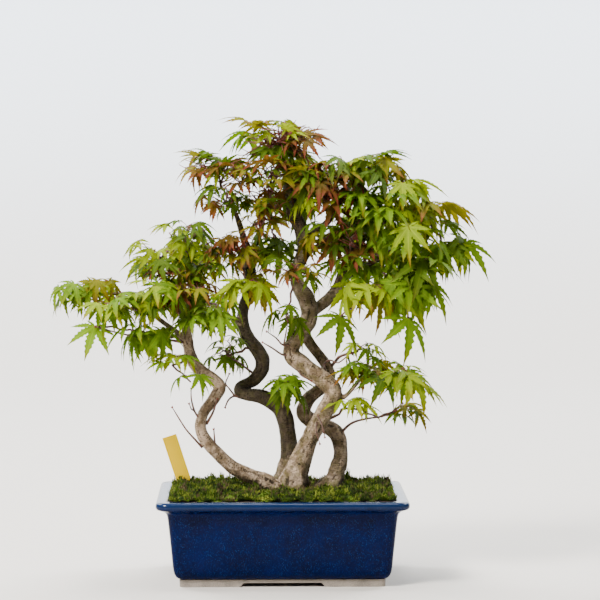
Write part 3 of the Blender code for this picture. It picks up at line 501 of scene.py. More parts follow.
@dataclass(frozen=True)
class Bark:
    """Maple bark: smooth tan to dark grey-green by limb, olive bloom in patches, dark fissures, painted
    shade.

    The mesh stores at each point (darkness, bloom, fissure), which this finish reads.
    """

    tan: Colour = (0.185, 0.125, 0.072)
    pale: Colour = (0.54, 0.395, 0.270)
    dark: Colour = (0.012, 0.0105, 0.0055)
    olive: Colour = (0.070, 0.066, 0.010)
    crack_and_shade: Colour = (0.012, 0.008, 0.005)
    patch_scale: float = 70.0
    patch_step: Span = (0.40, 0.62)
    dark_waver: float = 0.55
    fine_scale: float = 420.0
    fine_stretch: Triple = (1.0, 1.0, 0.45)
    fine_step: Span = (0.46, 0.62)
    streak_scale: float = 160.0
    along: Triple = (1.0, 1.0, 0.5)
    bloom_scale: float = 120.0
    bloom_step: Span = (0.42, 0.60)
    bloom_share: float = 0.85
    pit_scale: float = 330.0
    pit_step: Span = (0.05, 0.32)
    wrinkle_scale: float = 240.0
    across: Triple = (1.0, 1.0, 3.2)
    wrinkle_step: Span = (0.50, 0.62)
    wrinkle_share: float = 0.35
    fissure_step: Span = (0.30, 0.80)
    crack_share: float = 0.8
    relief_depth: float = 0.0016
    roughness: float = 0.88

    def make(self) -> bpy.types.Material:
        """Builds the bark.

        Returns:
            The material.
        """
        s = Shader("bark")
        darkness, bloom, fissure = s.marks("bark")
        patches = s.clouds(self.patch_scale, 5.0)
        fine = s.clouds(self.fine_scale, 4.0, self.fine_stretch)
        streaks = s.clouds(self.streak_scale, 5.0, self.along)
        light = s.blend(self.tan, self.pale, (patches * 0.6 + streaks * 0.5 - 0.05).band(*self.patch_step))
        # The darkness mark is each limb's own tone plus painted shade, high up and on the side away from the
        # key light.
        toned = s.blend(light, self.dark, (darkness + (patches - 0.5) * self.dark_waver).clamped())
        spread = s.clouds(self.bloom_scale, 4.0).band(*self.bloom_step)
        mossy = s.blend(toned, self.olive, bloom * spread * self.bloom_share)
        pits = 1 - s.cells(self.pit_scale, self.along).band(*self.pit_step)
        wrinkles = s.clouds(self.wrinkle_scale, 5.0, self.across).band(*self.wrinkle_step)
        dark_parts = (fissure.band(*self.fissure_step) + pits * fine.band(*self.fine_step)
                      + wrinkles * self.wrinkle_share).at_most(1.0)
        # Dark in the real fissures, pits and wrinkles, and painted shade in the root flutes' grooves.
        colour = s.blend(mossy, self.crack_and_shade, dark_parts * self.crack_share)
        relief = fine * 0.9 - pits * 0.5 - wrinkles * 0.5
        return s.finish(colour, self.roughness, relief, self.relief_depth, 1.0, Specular_IOR_Level=0.2)


@dataclass(frozen=True)
class TwigBark:
    """Thin young bark with a slight shine."""

    name: str
    lit: Colour
    dim: Colour
    grain_scale: float = 260.0
    grain_step: Span = (0.35, 0.65)
    grain_depth: float = 0.0003
    roughness: float = 0.6

    def make(self) -> bpy.types.Material:
        """Builds the young bark.

        Returns:
            The material.
        """
        s = Shader(self.name)
        grain = s.clouds(self.grain_scale, 4.0)
        colour = s.blend(self.dim, self.lit, grain.band(*self.grain_step))
        return s.finish(colour, self.roughness, grain, self.grain_depth, 0.5)


@dataclass(frozen=True)
class LeafSkin:
    """A leaf's colour in one tint: paler along the ribs, tinted at the tips, lit through from behind.

    The mesh stores at each point (closeness to a rib, distance from the stalk, a number for each leaf).
    """

    name: str
    blade: Colour
    shade: Colour
    rib: Colour
    tip: Colour
    glow: Colour
    tip_share: float = 0.5
    tip_from: float = 0.5
    tip_fade: float = 0.5
    blotch_scale: float = 140.0
    blotch_depth: float = 0.0004
    rib_step: Span = (0.72, 1.0)
    rib_share: float = 0.55
    through: float = 0.24
    roughness: float = 0.6
    specular: float = 0.07

    def make(self) -> bpy.types.Material:
        """Builds the leaf's skin.

        Returns:
            The material.
        """
        s = Shader(self.name)
        rib, reach, own = s.marks("leaf")
        blotches = s.clouds(self.blotch_scale, 3.0)
        blade = s.blend(self.shade, self.blade, (own * 0.75 + blotches * 0.5 - 0.1).clamped())
        reddened = reach.band(self.tip_from, self.tip_from + self.tip_fade) * self.tip_share
        tipped = s.blend(blade, self.tip, reddened)
        veined = s.blend(tipped, self.rib, rib.band(*self.rib_step) * self.rib_share)
        s.finish(veined, self.roughness, blotches, self.blotch_depth, 0.4, Specular_IOR_Level=self.specular)
        lit = s.node("ShaderNodeBsdfTranslucent", {}, {"Color": self.glow})
        faces = {0: self.through, 1: s.principled.outputs[0], 2: lit.outputs[0]}
        both = s.node("ShaderNodeMixShader", {}, faces)
        s.feed(s.tree.nodes["Material Output"].inputs["Surface"], both.outputs[0])
        return s.material


@dataclass(frozen=True)
class StudioPaper:
    """Plain paper, pale and cool at the top, a little warmer and darker towards the floor: painted light
    falloff.
    """

    low: Colour = (0.60, 0.56, 0.51)
    high: Colour = (0.82, 0.88, 0.96)
    rise: float = 0.95
    roughness: float = 0.95

    def make(self) -> bpy.types.Material:
        """Builds the paper.

        Returns:
            The material.
        """
        s = Shader("studio_paper")
        # Painted light: the paper darkens and warms towards the floor, as the light falls off.
        return s.finish(s.blend(self.low, self.high, s.height().band(0.0, self.rise)), self.roughness)


class Tint(Enum):
    """The leaf colours, each dealt out spray by spray."""

    LIME = LeafSkin("leaf_lime", (0.225, 0.300, 0.003), (0.125, 0.190, 0.004), (0.34, 0.38, 0.016),
                    (0.20, 0.070, 0.010), (0.31, 0.38, 0.002), 0.85)
    GREEN = LeafSkin("leaf_green", (0.118, 0.205, 0.004), (0.060, 0.124, 0.004), (0.20, 0.26, 0.012),
                     (0.17, 0.085, 0.008), (0.18, 0.32, 0.003), 0.7)
    DEEP = LeafSkin("leaf_deep", (0.072, 0.120, 0.005), (0.036, 0.068, 0.004), (0.12, 0.16, 0.010),
                    (0.08, 0.045, 0.006), (0.10, 0.18, 0.003), 0.6)
    OLIVE = LeafSkin("leaf_olive", (0.165, 0.170, 0.006), (0.092, 0.102, 0.005), (0.25, 0.17, 0.014),
                     (0.150, 0.038, 0.014), (0.26, 0.22, 0.004), 0.95, 0.36)
    BRONZE = LeafSkin("leaf_bronze", (0.112, 0.078, 0.009), (0.058, 0.044, 0.006), (0.18, 0.065, 0.014),
                      (0.130, 0.026, 0.014), (0.22, 0.09, 0.006), 0.95, 0.24)


class Mood(Enum):
    """How a pad's sprays are coloured: the share of each tint."""

    # SUN gives pads out in the light mostly the brightest tint: painted light.
    SUN = {Tint.LIME: 0.58, Tint.GREEN: 0.32, Tint.OLIVE: 0.10}
    FRESH = {Tint.LIME: 0.40, Tint.GREEN: 0.50, Tint.OLIVE: 0.04, Tint.DEEP: 0.06}
    YOUNG = {Tint.OLIVE: 0.42, Tint.BRONZE: 0.28, Tint.LIME: 0.24, Tint.GREEN: 0.06}
    RUDDY = {Tint.BRONZE: 0.50, Tint.OLIVE: 0.36, Tint.LIME: 0.14}
    SINGLE = {Tint.GREEN: 0.85, Tint.LIME: 0.15}
    # SHADE gives pads deep in the crown mostly the darkest tint: painted shade.
    SHADE = {Tint.DEEP: 0.62, Tint.GREEN: 0.33, Tint.LIME: 0.05}

    def deal(self, rng: random.Random) -> Tint:
        """Draws one tint.

        Args:
            rng: The seeded source of chance.

        Returns:
            The tint.
        """
        return rng.choices(list(self.value), list(self.value.values()))[0]


# ---- mesh building ------------------------------------------------------------------------------------
@dataclass
class MeshBatch:
    """Triangles gathered from many small shapes, for one joined mesh."""

    points: list[np.ndarray] = field(default_factory=list)
    faces: list[np.ndarray] = field(default_factory=list)
    marks: list[np.ndarray] = field(default_factory=list)
    count: int = 0

    def add(self, points: np.ndarray, faces: np.ndarray, marks: np.ndarray | None = None) -> None:
        """Adds one shape.

        Args:
            points: Its points in millimetres, one row each.
            faces: Its triangles, as rows of three indices.
            marks: Three numbers to store at each point.
        """
        self.points.append(points)
        self.faces.append(faces + self.count)
        self.marks.append(np.zeros_like(points) if marks is None else marks)
        self.count += len(points)

    def piece(self, name: str, finish: bpy.types.Material, attribute: str = "",
              smooth: bool = True) -> bpy.types.Object:
        """Makes the joined mesh object.

        Args:
            name: The piece's name.
            finish: Its material.
            attribute: The name to store the points' marks under, if any.
            smooth: Whether it is shaded smooth.

        Returns:
            The object, linked to the scene.
        """
        mesh = bpy.data.meshes.new(name)
        mesh.from_pydata((np.vstack(self.points) * MM).tolist(), [], np.vstack(self.faces).tolist())
        if attribute:
            store_marks(mesh, attribute, np.vstack(self.marks))
        return link_piece(name, mesh, finish, smooth)


def store_marks(mesh: bpy.types.Mesh, name: str, values: np.ndarray) -> None:
    """Stores three numbers at each point of a mesh.

    Args:
        mesh: The mesh.
        name: The attribute's name.
        values: One row of three numbers for each point.
    """
    made = mesh.attributes.new(name, "FLOAT_VECTOR", "POINT")
    made.data.foreach_set("vector", np.asarray(values, np.float32).ravel())


def link_piece(name: str, mesh: bpy.types.Mesh, finish: bpy.types.Material,
               smooth: bool = True) -> bpy.types.Object:
    """Makes an object of a mesh, dresses it and links it to the scene.

    Args:
        name: The piece's name.
        mesh: Its mesh.
        finish: Its material.
        smooth: Whether it is shaded smooth.

    Returns:
        The object.
    """
    mesh.materials.clear()
    mesh.materials.append(finish)
    if smooth:
        mesh.shade_smooth()
    made = bpy.data.objects.new(name, mesh)
    bpy.context.scene.collection.objects.link(made)
    return made


def smooth_path(points: Sequence[PathPoint], step: float) -> list[tuple[Vector, float]]:
    """A Catmull-Rom path through bend points.

    Args:
        points: (x, y, z, radius) bend points.
        step: The distance between samples.

    Returns:
        (position, radius) samples.
    """
    rows = [(Vector(p[:3]), float(p[3])) for p in points]
    samples = []
    for i in range(len(rows) - 1):
        (p1, r1), (p2, r2) = rows[i], rows[i + 1]
        p0 = rows[i - 1][0] if i else p1 - (p2 - p1)
        p3 = rows[i + 2][0] if i + 2 < len(rows) else p2 + (p2 - p1)
        count = max(1, round((p2 - p1).length / step))
        for k in range(count):
            t = k / count
            spot = 0.5 * ((2 * p1) + (p2 - p0) * t + (2 * p0 - 5 * p1 + 4 * p2 - p3) * t * t
                          + (3 * p1 - p0 - 3 * p2 + p3) * t ** 3)
            ease = t * t * (3 - 2 * t)
            samples.append((spot, r1 + (r2 - r1) * ease))
    samples.append(rows[-1])
    return samples


def level_way(turn: float) -> Vector:
    """A level direction.

    Args:
        turn: Its angle from +X in radians.

    Returns:
        The unit vector.
    """
    return Vector((math.cos(turn), math.sin(turn), 0.0))


def ring_faces(rings: int, sides: int) -> list[Triangle]:
    """The skin between rings of points that lie one over the next.

    Args:
        rings: How many rings there are.
        sides: How many points each has.

    Returns:
        The triangles.
    """
    faces = []
    for i in range(rings - 1):
        for k in range(sides):
            a, b = i * sides + k, i * sides + (k + 1) % sides
            faces += [(a, b, b + sides), (a, b + sides, a + sides)]
    return faces


def tube(path: Sequence[tuple[Vector, float]], sides: int) -> tuple[np.ndarray, np.ndarray]:
    """A round tapering tube along a path, closed at both ends.

    Args:
        path: (position, radius) samples.
        sides: How many sides it has.

    Returns:
        Its points and triangles.
    """
    spots = [spot for spot, _ in path]
    points, side = [], None
    for i, (spot, radius) in enumerate(path):
        along = (spots[min(i + 1, len(spots) - 1)] - spots[max(i - 1, 0)]).normalized()
        side = (side - along * side.dot(along)).normalized() if side else along.orthogonal().normalized()
        across = along.cross(side)
        for k in range(sides):
            turn = math.tau * k / sides
            points.append(spot + (side * math.cos(turn) + across * math.sin(turn)) * radius)
    faces = ring_faces(len(path), sides)
    last = (len(path) - 1) * sides
    faces += [(0, k + 1, k) for k in range(1, sides - 1)]
    faces += [(last, last + k, last + k + 1) for k in range(1, sides - 1)]
    return np.array([tuple(p) for p in points]), np.array(faces)


def arc(start: Vector, end: Vector, sag: float, steps: int = 4) -> list[Vector]:
    """Points on a shallow arc between two points.

    Args:
        start: Where it starts.
        end: Where it ends.
        sag: How far its middle drops, in millimetres.
        steps: How many stretches it has.

    Returns:
        The points, both ends included.
    """
    drop = Vector((0.0, 0.0, -sag))
    return [start.lerp(end, k / steps) + drop * math.sin(math.pi * k / steps) for k in range(steps + 1)]


# ---- the plant's own sizes ----------------------------------------------------------------------------
class LimbTone(Enum):
    """A limb's bark: (darkness, olive bloom)."""

    PALE = (0.02, 0.10)
    TAN = (0.10, 0.55)
    GREY = (0.82, 0.30)
    DIM = (0.45, 0.45)


@dataclass(frozen=True)
class Limb:
    """One limb: its bend points (x, y, z, radius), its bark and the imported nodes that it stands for."""

    points: tuple[PathPoint, ...]
    tone: LimbTone
    nodes: tuple[str, ...] = ()


def nodes_of(stem: str, *parts: str) -> tuple[str, ...]:
    """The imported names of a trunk's pieces.

    Args:
        stem: The trunk's name.
        parts: Its pieces.

    Returns:
        The node names.
    """
    return tuple(f"{stem}_{part}" for part in parts)


LIMBS: dict[str, Limb] = {
    "root_centre": Limb(((25, -6, 98, 22), (28, -6, 112, 17.5), (36, -6, 139, 13.3), (38, -6, 143, 12.9)),
                        LimbTone.TAN, ("root_base",)),
    "root_middle": Limb(((12, 14, 98, 16), (18, 20, 118, 12.4), (23, 25, 139, 10.7), (24, 25, 144, 10.6)),
                        LimbTone.DIM),
    "root_left": Limb(((13, -4, 98, 14), (-2, -8, 114, 10.4), (-16, -10, 121, 8.9), (-19, -10.5, 122.5, 8.8)),
                      LimbTone.PALE),
    "left_trunk": Limb(((-2, -8, 114, 10.2), (-16, -10, 121, 8.7), (-48, -16, 138, 8.0), (-80, -22, 174, 7.3),
                        (-81, -21, 198, 6.6), (-65, -14, 221, 7.2), (-61, -12, 235, 7.6),
                        (-89, -16, 258, 7.8), (-98, -14, 284, 7.0), (-100, -7, 315, 5.3),
                        (-92, -4, 357, 3.6)),
                       LimbTone.PALE, nodes_of("left_trunk", "foot", "rise", "bend", "top")),
    "middle_trunk": Limb(((18, 20, 118, 12.0), (23, 25, 139, 10.7), (23, 23, 171, 10.0), (14, 16, 202, 10.2),
                          (-8, 8, 218, 9.1), (-32, 4, 222, 7.0), (-36, 12, 230, 6.2), (-17, 23, 239, 8.2),
                          (-8, 20, 262, 9.0), (-29, 10, 296, 8.0), (-32, 7, 323, 6.8), (-22, 5, 355, 7.6),
                          (-27, 5, 388, 8.0), (-28, 5, 404, 5.4)),
                         LimbTone.GREY, nodes_of("middle_trunk", "rise", "shelf", "sweep", "top")),
    "centre_trunk": Limb(((28, -6, 112, 16.5), (36, -6, 139, 13.3), (50, -8, 171, 10.8), (67, -10, 202, 10.4),
                          (76, -12, 229, 10.9), (42, -11, 257, 10.7), (26, -9, 276, 9.6), (47, -6, 312, 10.6),
                          (45, -7, 336, 10.8), (32, -8, 366, 8.2), (43, -2, 407, 8.8), (25, -4, 452, 8.4),
                          (23, -3, 489, 5.3), (19, -4, 507, 3.4)),
                         LimbTone.TAN, nodes_of("centre_trunk", "foot", "elbow", "rise", "sway", "top")),
    "right_trunk": Limb(((70, 8, 98, 19.0), (74, 10, 106, 16.0), (81, 12, 122, 10.6), (87, 16, 150, 8.6),
                         (80, 20, 174, 9.6), (44, 19, 193, 9.4), (47, 18, 213, 8.3), (74, 20, 244, 6.8),
                         (45, 19, 290, 6.6), (46, 19, 313, 6.8), (80, 8, 346, 7.3), (91, 8, 377, 6.0)),
                        LimbTone.DIM, nodes_of("right_trunk", "foot", "loop", "climb", "bough")),
}
BOUGHS: dict[str, tuple[PathPoint, ...]] = {
    "crest_bough": ((-29, 4, 405, 4.4), (-36, 1, 428, 3.7), (-43, -2, 448, 2.5)),
    "inner_crest_bough": ((-27, 5, 388, 3.8), (-11, 14, 414, 3.2), (-7, 14, 440, 2.5)),
    "far_left_bough": ((-99, -6, 317, 3.9), (-145, -16, 342, 2.9), (-194, -22, 346, 1.8)),
    "left_low_bough": ((-99, -13, 289, 4.1), (-122, -34, 308, 3.3), (-144, -54, 326, 2.4)),
    "inner_left_bough": ((-32, 8, 309, 3.9), (-50, -12, 317, 3.1), (-71, -26, 320, 2.3)),
    "upper_right_bough": ((43, -2, 409, 5.1), (72, 12, 432, 4.1), (97, 8, 469, 2.7)),
    "right_high_bough": ((89, 8, 372, 5.0), (108, 4, 404, 4.4), (149, -4, 443, 2.5)),
    "right_mid_bough": ((86, 8, 361, 4.6), (108, -17, 374, 4.0), (135, -30, 389, 2.5)),
    "right_low_bough": ((80, 8, 346, 4.6), (101, -16, 350, 3.9), (130, -32, 354, 2.5)),
    "lower_right_bough": ((74, -11, 216, 3.2), (90, -14, 220, 2.8), (107, -18, 238, 2.2)),
    "back_left_bough": ((-21, 13, 284, 4.9), (-36, 38, 299, 4.0), (-54, 58, 320, 2.6)),
    "back_right_bough": ((86, 8, 361, 5.0), (97, 36, 378, 4.2), (114, 56, 397, 2.9)),
    "back_top_bough": ((41, -4, 392, 4.8), (36, 28, 411, 4.0), (31, 48, 434, 2.6)),
}
# bare twigs: bend points (x, y, z, radius)
BARE_TWIGS: dict[str, tuple[PathPoint, ...]] = {
    "left_whip": ((-81, -21, 160, 1.9), (-89, -24, 169, 1.5), (-100, -28, 182, 1.2), (-110, -30, 198, 1.0),
                  (-116, -30, 208, 0.6)),
    "left_fork": ((-81, -22, 190, 1.7), (-90, -26, 204, 1.4), (-94, -28, 220, 1.0), (-94, -28, 230, 0.6)),
    "left_fork_side": ((-90, -26, 204, 1.0), (-94, -28, 207, 0.9), (-96, -28, 212, 0.5)),
    "left_inner": ((-76, -20, 188, 1.8), (-68, -28, 203, 1.4), (-63, -32, 218, 0.8)),
    "left_spur": ((-65, -19, 153, 1.6), (-66, -24, 168, 1.2), (-67, -26, 181, 0.8)),
    "shelf_hook": ((-33, 5, 217, 2.0), (-43, 0, 220, 1.5), (-50, -4, 215, 1.2), (-53, -6, 208, 0.9)),
    "shelf_up": ((-42, 0, 220, 1.4), (-49, -4, 230, 1.1), (-53, -6, 236, 0.9), (-49, -6, 246, 0.7)),
    "sweep_twig": ((-22, 14, 248, 1.7), (-31, 0, 256, 1.3), (-38, -6, 262, 1.1), (-48, -8, 267, 0.8)),
    "rise_low": ((30, -10, 272, 1.8), (17, -18, 271, 1.3), (3, -22, 280, 1.1), (-7, -24, 286, 0.7)),
    "rise_high": ((32, -10, 285, 1.7), (17, -20, 283, 1.3), (8, -24, 292, 1.0), (-2, -26, 299, 0.6)),
    "rise_tip": ((17, -20, 283, 1.1), (19, -22, 294, 1.0), (22, -24, 311, 0.6)),
    "centre_red": ((36, -12, 256, 1.5), (37, -22, 248, 1.2), (49, -26, 241, 0.7)),
    "red_tuft": ((58, -18, 198, 1.2), (63, -26, 187, 1.0), (66, -27, 174, 0.6)),
    "red_tuft_side": ((57, -19, 190, 1.1), (56, -26, 180, 0.9), (60, -27, 166, 0.5)),
    "young_shoot": ((72, 16, 241, 1.7), (66, 4, 256, 1.3), (73, -6, 264, 1.1), (83, -10, 261, 1.0),
                    (97, -12, 272, 0.8)),
    "low_right": ((86, 18, 172, 2.0), (100, 6, 186, 1.6), (117, -2, 192, 1.3), (139, -6, 196, 1.1),
                  (151, -6, 203, 0.9), (160, -8, 211, 0.7)),
    "far_low": ((-98, -12, 285, 1.9), (-119, -30, 290, 1.5), (-140, -40, 293, 1.2), (-163, -44, 296, 1.1),
                (-188, -46, 302, 0.9), (-206, -46, 307, 0.7)),
}


@dataclass(frozen=True)
class Pad:
    """One pad of a leaf mass: its middle, half sizes, number of sprays, leaf length, bearing and colours."""

    centre: Triple
    half: Triple
    count: int
    length: float
    bearing: float
    mood: Mood = Mood.FRESH
    droop: float = 44.0

    def rim(self, turn: float, share: float = 1.0) -> Vector:
        """The level way from its middle to its rim at a turn in radians, or a share of it."""
        return Vector((self.half[0] * share * math.cos(turn), self.half[1] * share * math.sin(turn), 0.0))


@dataclass(frozen=True)
class LeafMass:
    """One leaf mass: the limb it grows from, where on it (0 to 1) and its pads."""

    limb: str
    share: float
    pads: tuple[Pad, ...]


MASSES: dict[str, LeafMass] = {
    "apex_leaves": LeafMass("centre_trunk", 1.0, (
        Pad((13, -4, 530), (40, 28, 17), 22, 33, -70, Mood.YOUNG, 24),)),
    "left_crest_leaves": LeafMass("crest_bough", 1.0, (
        Pad((-52, -8, 460), (22, 24, 12), 6, 29, -140, Mood.RUDDY, 26),
        Pad((-62, -4, 500), (38, 26, 7), 10, 31, -150, Mood.YOUNG, 18),
        Pad((-24, -14, 486), (16, 18, 9), 4, 30, -110, Mood.RUDDY, 20))),
    "inner_crest_leaves": LeafMass("inner_crest_bough", 1.0, (
        Pad((-8, -4, 464), (24, 26, 14), 6, 29, -120, Mood.RUDDY, 30),
        Pad((-12, -16, 430), (18, 20, 12), 4, 28, -100, Mood.RUDDY, 34))),
    "left_shoulder_leaves": LeafMass("left_trunk", 1.0, (
        Pad((-92, -6, 372), (18, 20, 12), 4, 32, -100, Mood.YOUNG),
        Pad((-98, -12, 416), (38, 40, 12), 10, 33, -80, Mood.FRESH, 30),
        Pad((-138, -14, 392), (17, 26, 13), 6, 34, -145, Mood.SUN, 34),
        Pad((-64, -18, 398), (20, 26, 13), 5, 30, -95, Mood.RUDDY, 30),
        Pad((-118, -16, 372), (26, 24, 8), 4, 30, -110, Mood.RUDDY, 32))),
    "far_left_leaves": LeafMass("far_left_bough", 1.0, (
        Pad((-204, -18, 350), (14, 22, 9), 6, 34, -90, Mood.SUN),
        Pad((-232, -20, 350), (8, 18, 6), 4, 34, -140, Mood.FRESH))),
    "left_low_leaves": LeafMass("left_low_bough", 1.0, (
        Pad((-138, -54, 344), (22, 34, 12), 10, 38, -110, Mood.SUN),
        Pad((-182, -44, 336), (18, 28, 9), 7, 36, -75, Mood.FRESH))),
    "left_hanging_leaves": LeafMass("left_trunk", 0.78, (
        Pad((-146, -44, 300), (12, 14, 5), 4, 40, -150, Mood.SINGLE),
        Pad((-208, -44, 308), (1, 1, 1), 1, 48, -108, Mood.SINGLE))),
    "inner_left_leaves": LeafMass("inner_left_bough", 1.0, (
        Pad((-74, -40, 324), (28, 36, 8), 9, 36, -92, Mood.SUN),
        Pad((-94, -34, 350), (22, 22, 7), 6, 32, -100, Mood.YOUNG))),
    "lower_left_leaves": LeafMass("left_trunk", 0.70, (
        Pad((-116, -44, 268), (9, 14, 8), 3, 34, -115, Mood.SINGLE),
        Pad((-94, -46, 246), (8, 10, 4), 2, 34, -100, Mood.SINGLE))),
    "inner_low_leaves": LeafMass("middle_trunk", 0.60, (
        Pad((-54, 8, 276), (16, 18, 9), 5, 28, -60, Mood.SHADE),)),
    "front_leaves": LeafMass("middle_trunk", 0.84, (
        Pad((-26, -34, 360), (14, 10, 6), 4, 40, -95, Mood.SUN),
        Pad((-38, -22, 400), (20, 16, 14), 6, 28, -110, Mood.RUDDY, 34))),
    "centre_leaves": LeafMass("centre_trunk", 0.66, (
        Pad((30, -36, 372), (24, 14, 8), 6, 28, -95, Mood.YOUNG, 30),
        Pad((20, -36, 320), (9, 8, 5), 3, 32, -110, Mood.SUN))),
    "centre_high_leaves": LeafMass("centre_trunk", 0.74, (
        Pad((8, 16, 404), (14, 22, 12), 6, 38, -120, Mood.SHADE),
        Pad((2, -22, 446), (16, 14, 12), 4, 30, -115, Mood.RUDDY, 34),
        Pad((2, -20, 496), (22, 16, 10), 6, 30, -110, Mood.YOUNG, 24),
        Pad((48, -22, 486), (22, 16, 12), 7, 32, -85, Mood.YOUNG, 30),
        Pad((66, -24, 414), (14, 14, 12), 5, 36, -75, Mood.RUDDY))),
    "lower_centre_leaves": LeafMass("middle_trunk", 0.28, (
        Pad((20, -8, 234), (12, 10, 5), 4, 36, -60, Mood.FRESH),)),
    "upper_right_leaves": LeafMass("upper_right_bough", 1.0, (
        Pad((82, -14, 490), (28, 42, 14), 10, 36, -105, Mood.YOUNG, 30),
        Pad((120, -12, 500), (26, 38, 8), 9, 38, -60, Mood.SUN, 30),
        Pad((108, -28, 458), (28, 26, 10), 6, 38, -70, Mood.FRESH, 36),
        Pad((66, -30, 462), (18, 20, 12), 5, 36, -90, Mood.RUDDY, 36))),
    "right_high_leaves": LeafMass("right_high_bough", 1.0, (
        Pad((156, -22, 466), (26, 34, 13), 8, 44, -60, Mood.SUN),
        Pad((190, -16, 438), (18, 22, 11), 6, 46, -30, Mood.SUN, 40),
        Pad((218, -16, 402), (11, 12, 7), 3, 54, -30, Mood.SINGLE, 50),
        Pad((134, -30, 436), (26, 22, 10), 5, 42, -80, Mood.FRESH))),
    "right_mid_leaves": LeafMass("right_mid_bough", 1.0, (
        Pad((152, -44, 410), (32, 34, 12), 7, 44, -80, Mood.FRESH),
        Pad((96, -32, 416), (22, 30, 14), 6, 38, -90, Mood.YOUNG),
        Pad((104, -30, 382), (24, 24, 12), 4, 40, -90, Mood.FRESH),
        Pad((188, -34, 392), (16, 20, 9), 4, 48, -40, Mood.SUN))),
    "right_low_leaves": LeafMass("right_low_bough", 1.0, (
        Pad((164, -42, 362), (24, 32, 9), 7, 52, -35, Mood.FRESH),
        Pad((118, -48, 352), (20, 24, 7), 5, 46, -85, Mood.FRESH),
        Pad((164, -66, 318), (1, 1, 1), 1, 60, -84, Mood.SINGLE),
        Pad((84, -60, 320), (1, 1, 1), 1, 52, -90, Mood.SHADE))),
    "young_leaves": LeafMass("right_trunk", 0.58, (
        Pad((107, -14, 280), (9, 8, 4), 3, 34, -40, Mood.SUN, 34),)),
    "lower_right_leaves": LeafMass("lower_right_bough", 1.0, (
        Pad((112, -22, 257), (12, 18, 6), 4, 38, -130, Mood.YOUNG),
        Pad((152, -34, 249), (20, 24, 8), 5, 46, -70, Mood.FRESH))),
    "low_tip_leaves": LeafMass("right_trunk", 0.30, (
        Pad((98, -6, 212), (10, 12, 6), 3, 32, -80, Mood.FRESH),
        Pad((132, -6, 194), (1, 1, 1), 0, 30, 0, Mood.YOUNG),
        Pad((160, -6, 206), (5, 6, 3), 3, 32, -50, Mood.YOUNG))),
    "back_left_leaves": LeafMass("back_left_bough", 1.0, (
        Pad((-86, 64, 342), (40, 24, 12), 6, 44, 90, Mood.FRESH),
        Pad((-102, 60, 390), (28, 20, 12), 5, 42, 110, Mood.FRESH))),
    "back_right_leaves": LeafMass("back_right_bough", 1.0, (
        Pad((130, 64, 420), (40, 24, 24), 8, 44, 86, Mood.FRESH),
        Pad((144, 58, 370), (34, 22, 12), 5, 44, 60, Mood.FRESH))),
    "back_top_leaves": LeafMass("back_top_bough", 1.0, (
        Pad((30, 60, 470), (34, 24, 20), 7, 40, 90, Mood.FRESH),
        Pad((26, 44, 508), (18, 14, 8), 4, 40, 90, Mood.YOUNG))),
}


# ---- sub-assemblies -----------------------------------------------------------------------------------
@dataclass(frozen=True)
class LimbSample:
    """A place on a limb's middle line: its radius, its distance from the limb's start and its bark."""

    spot: Vector
    radius: float
    run: float
    tone: LimbTone


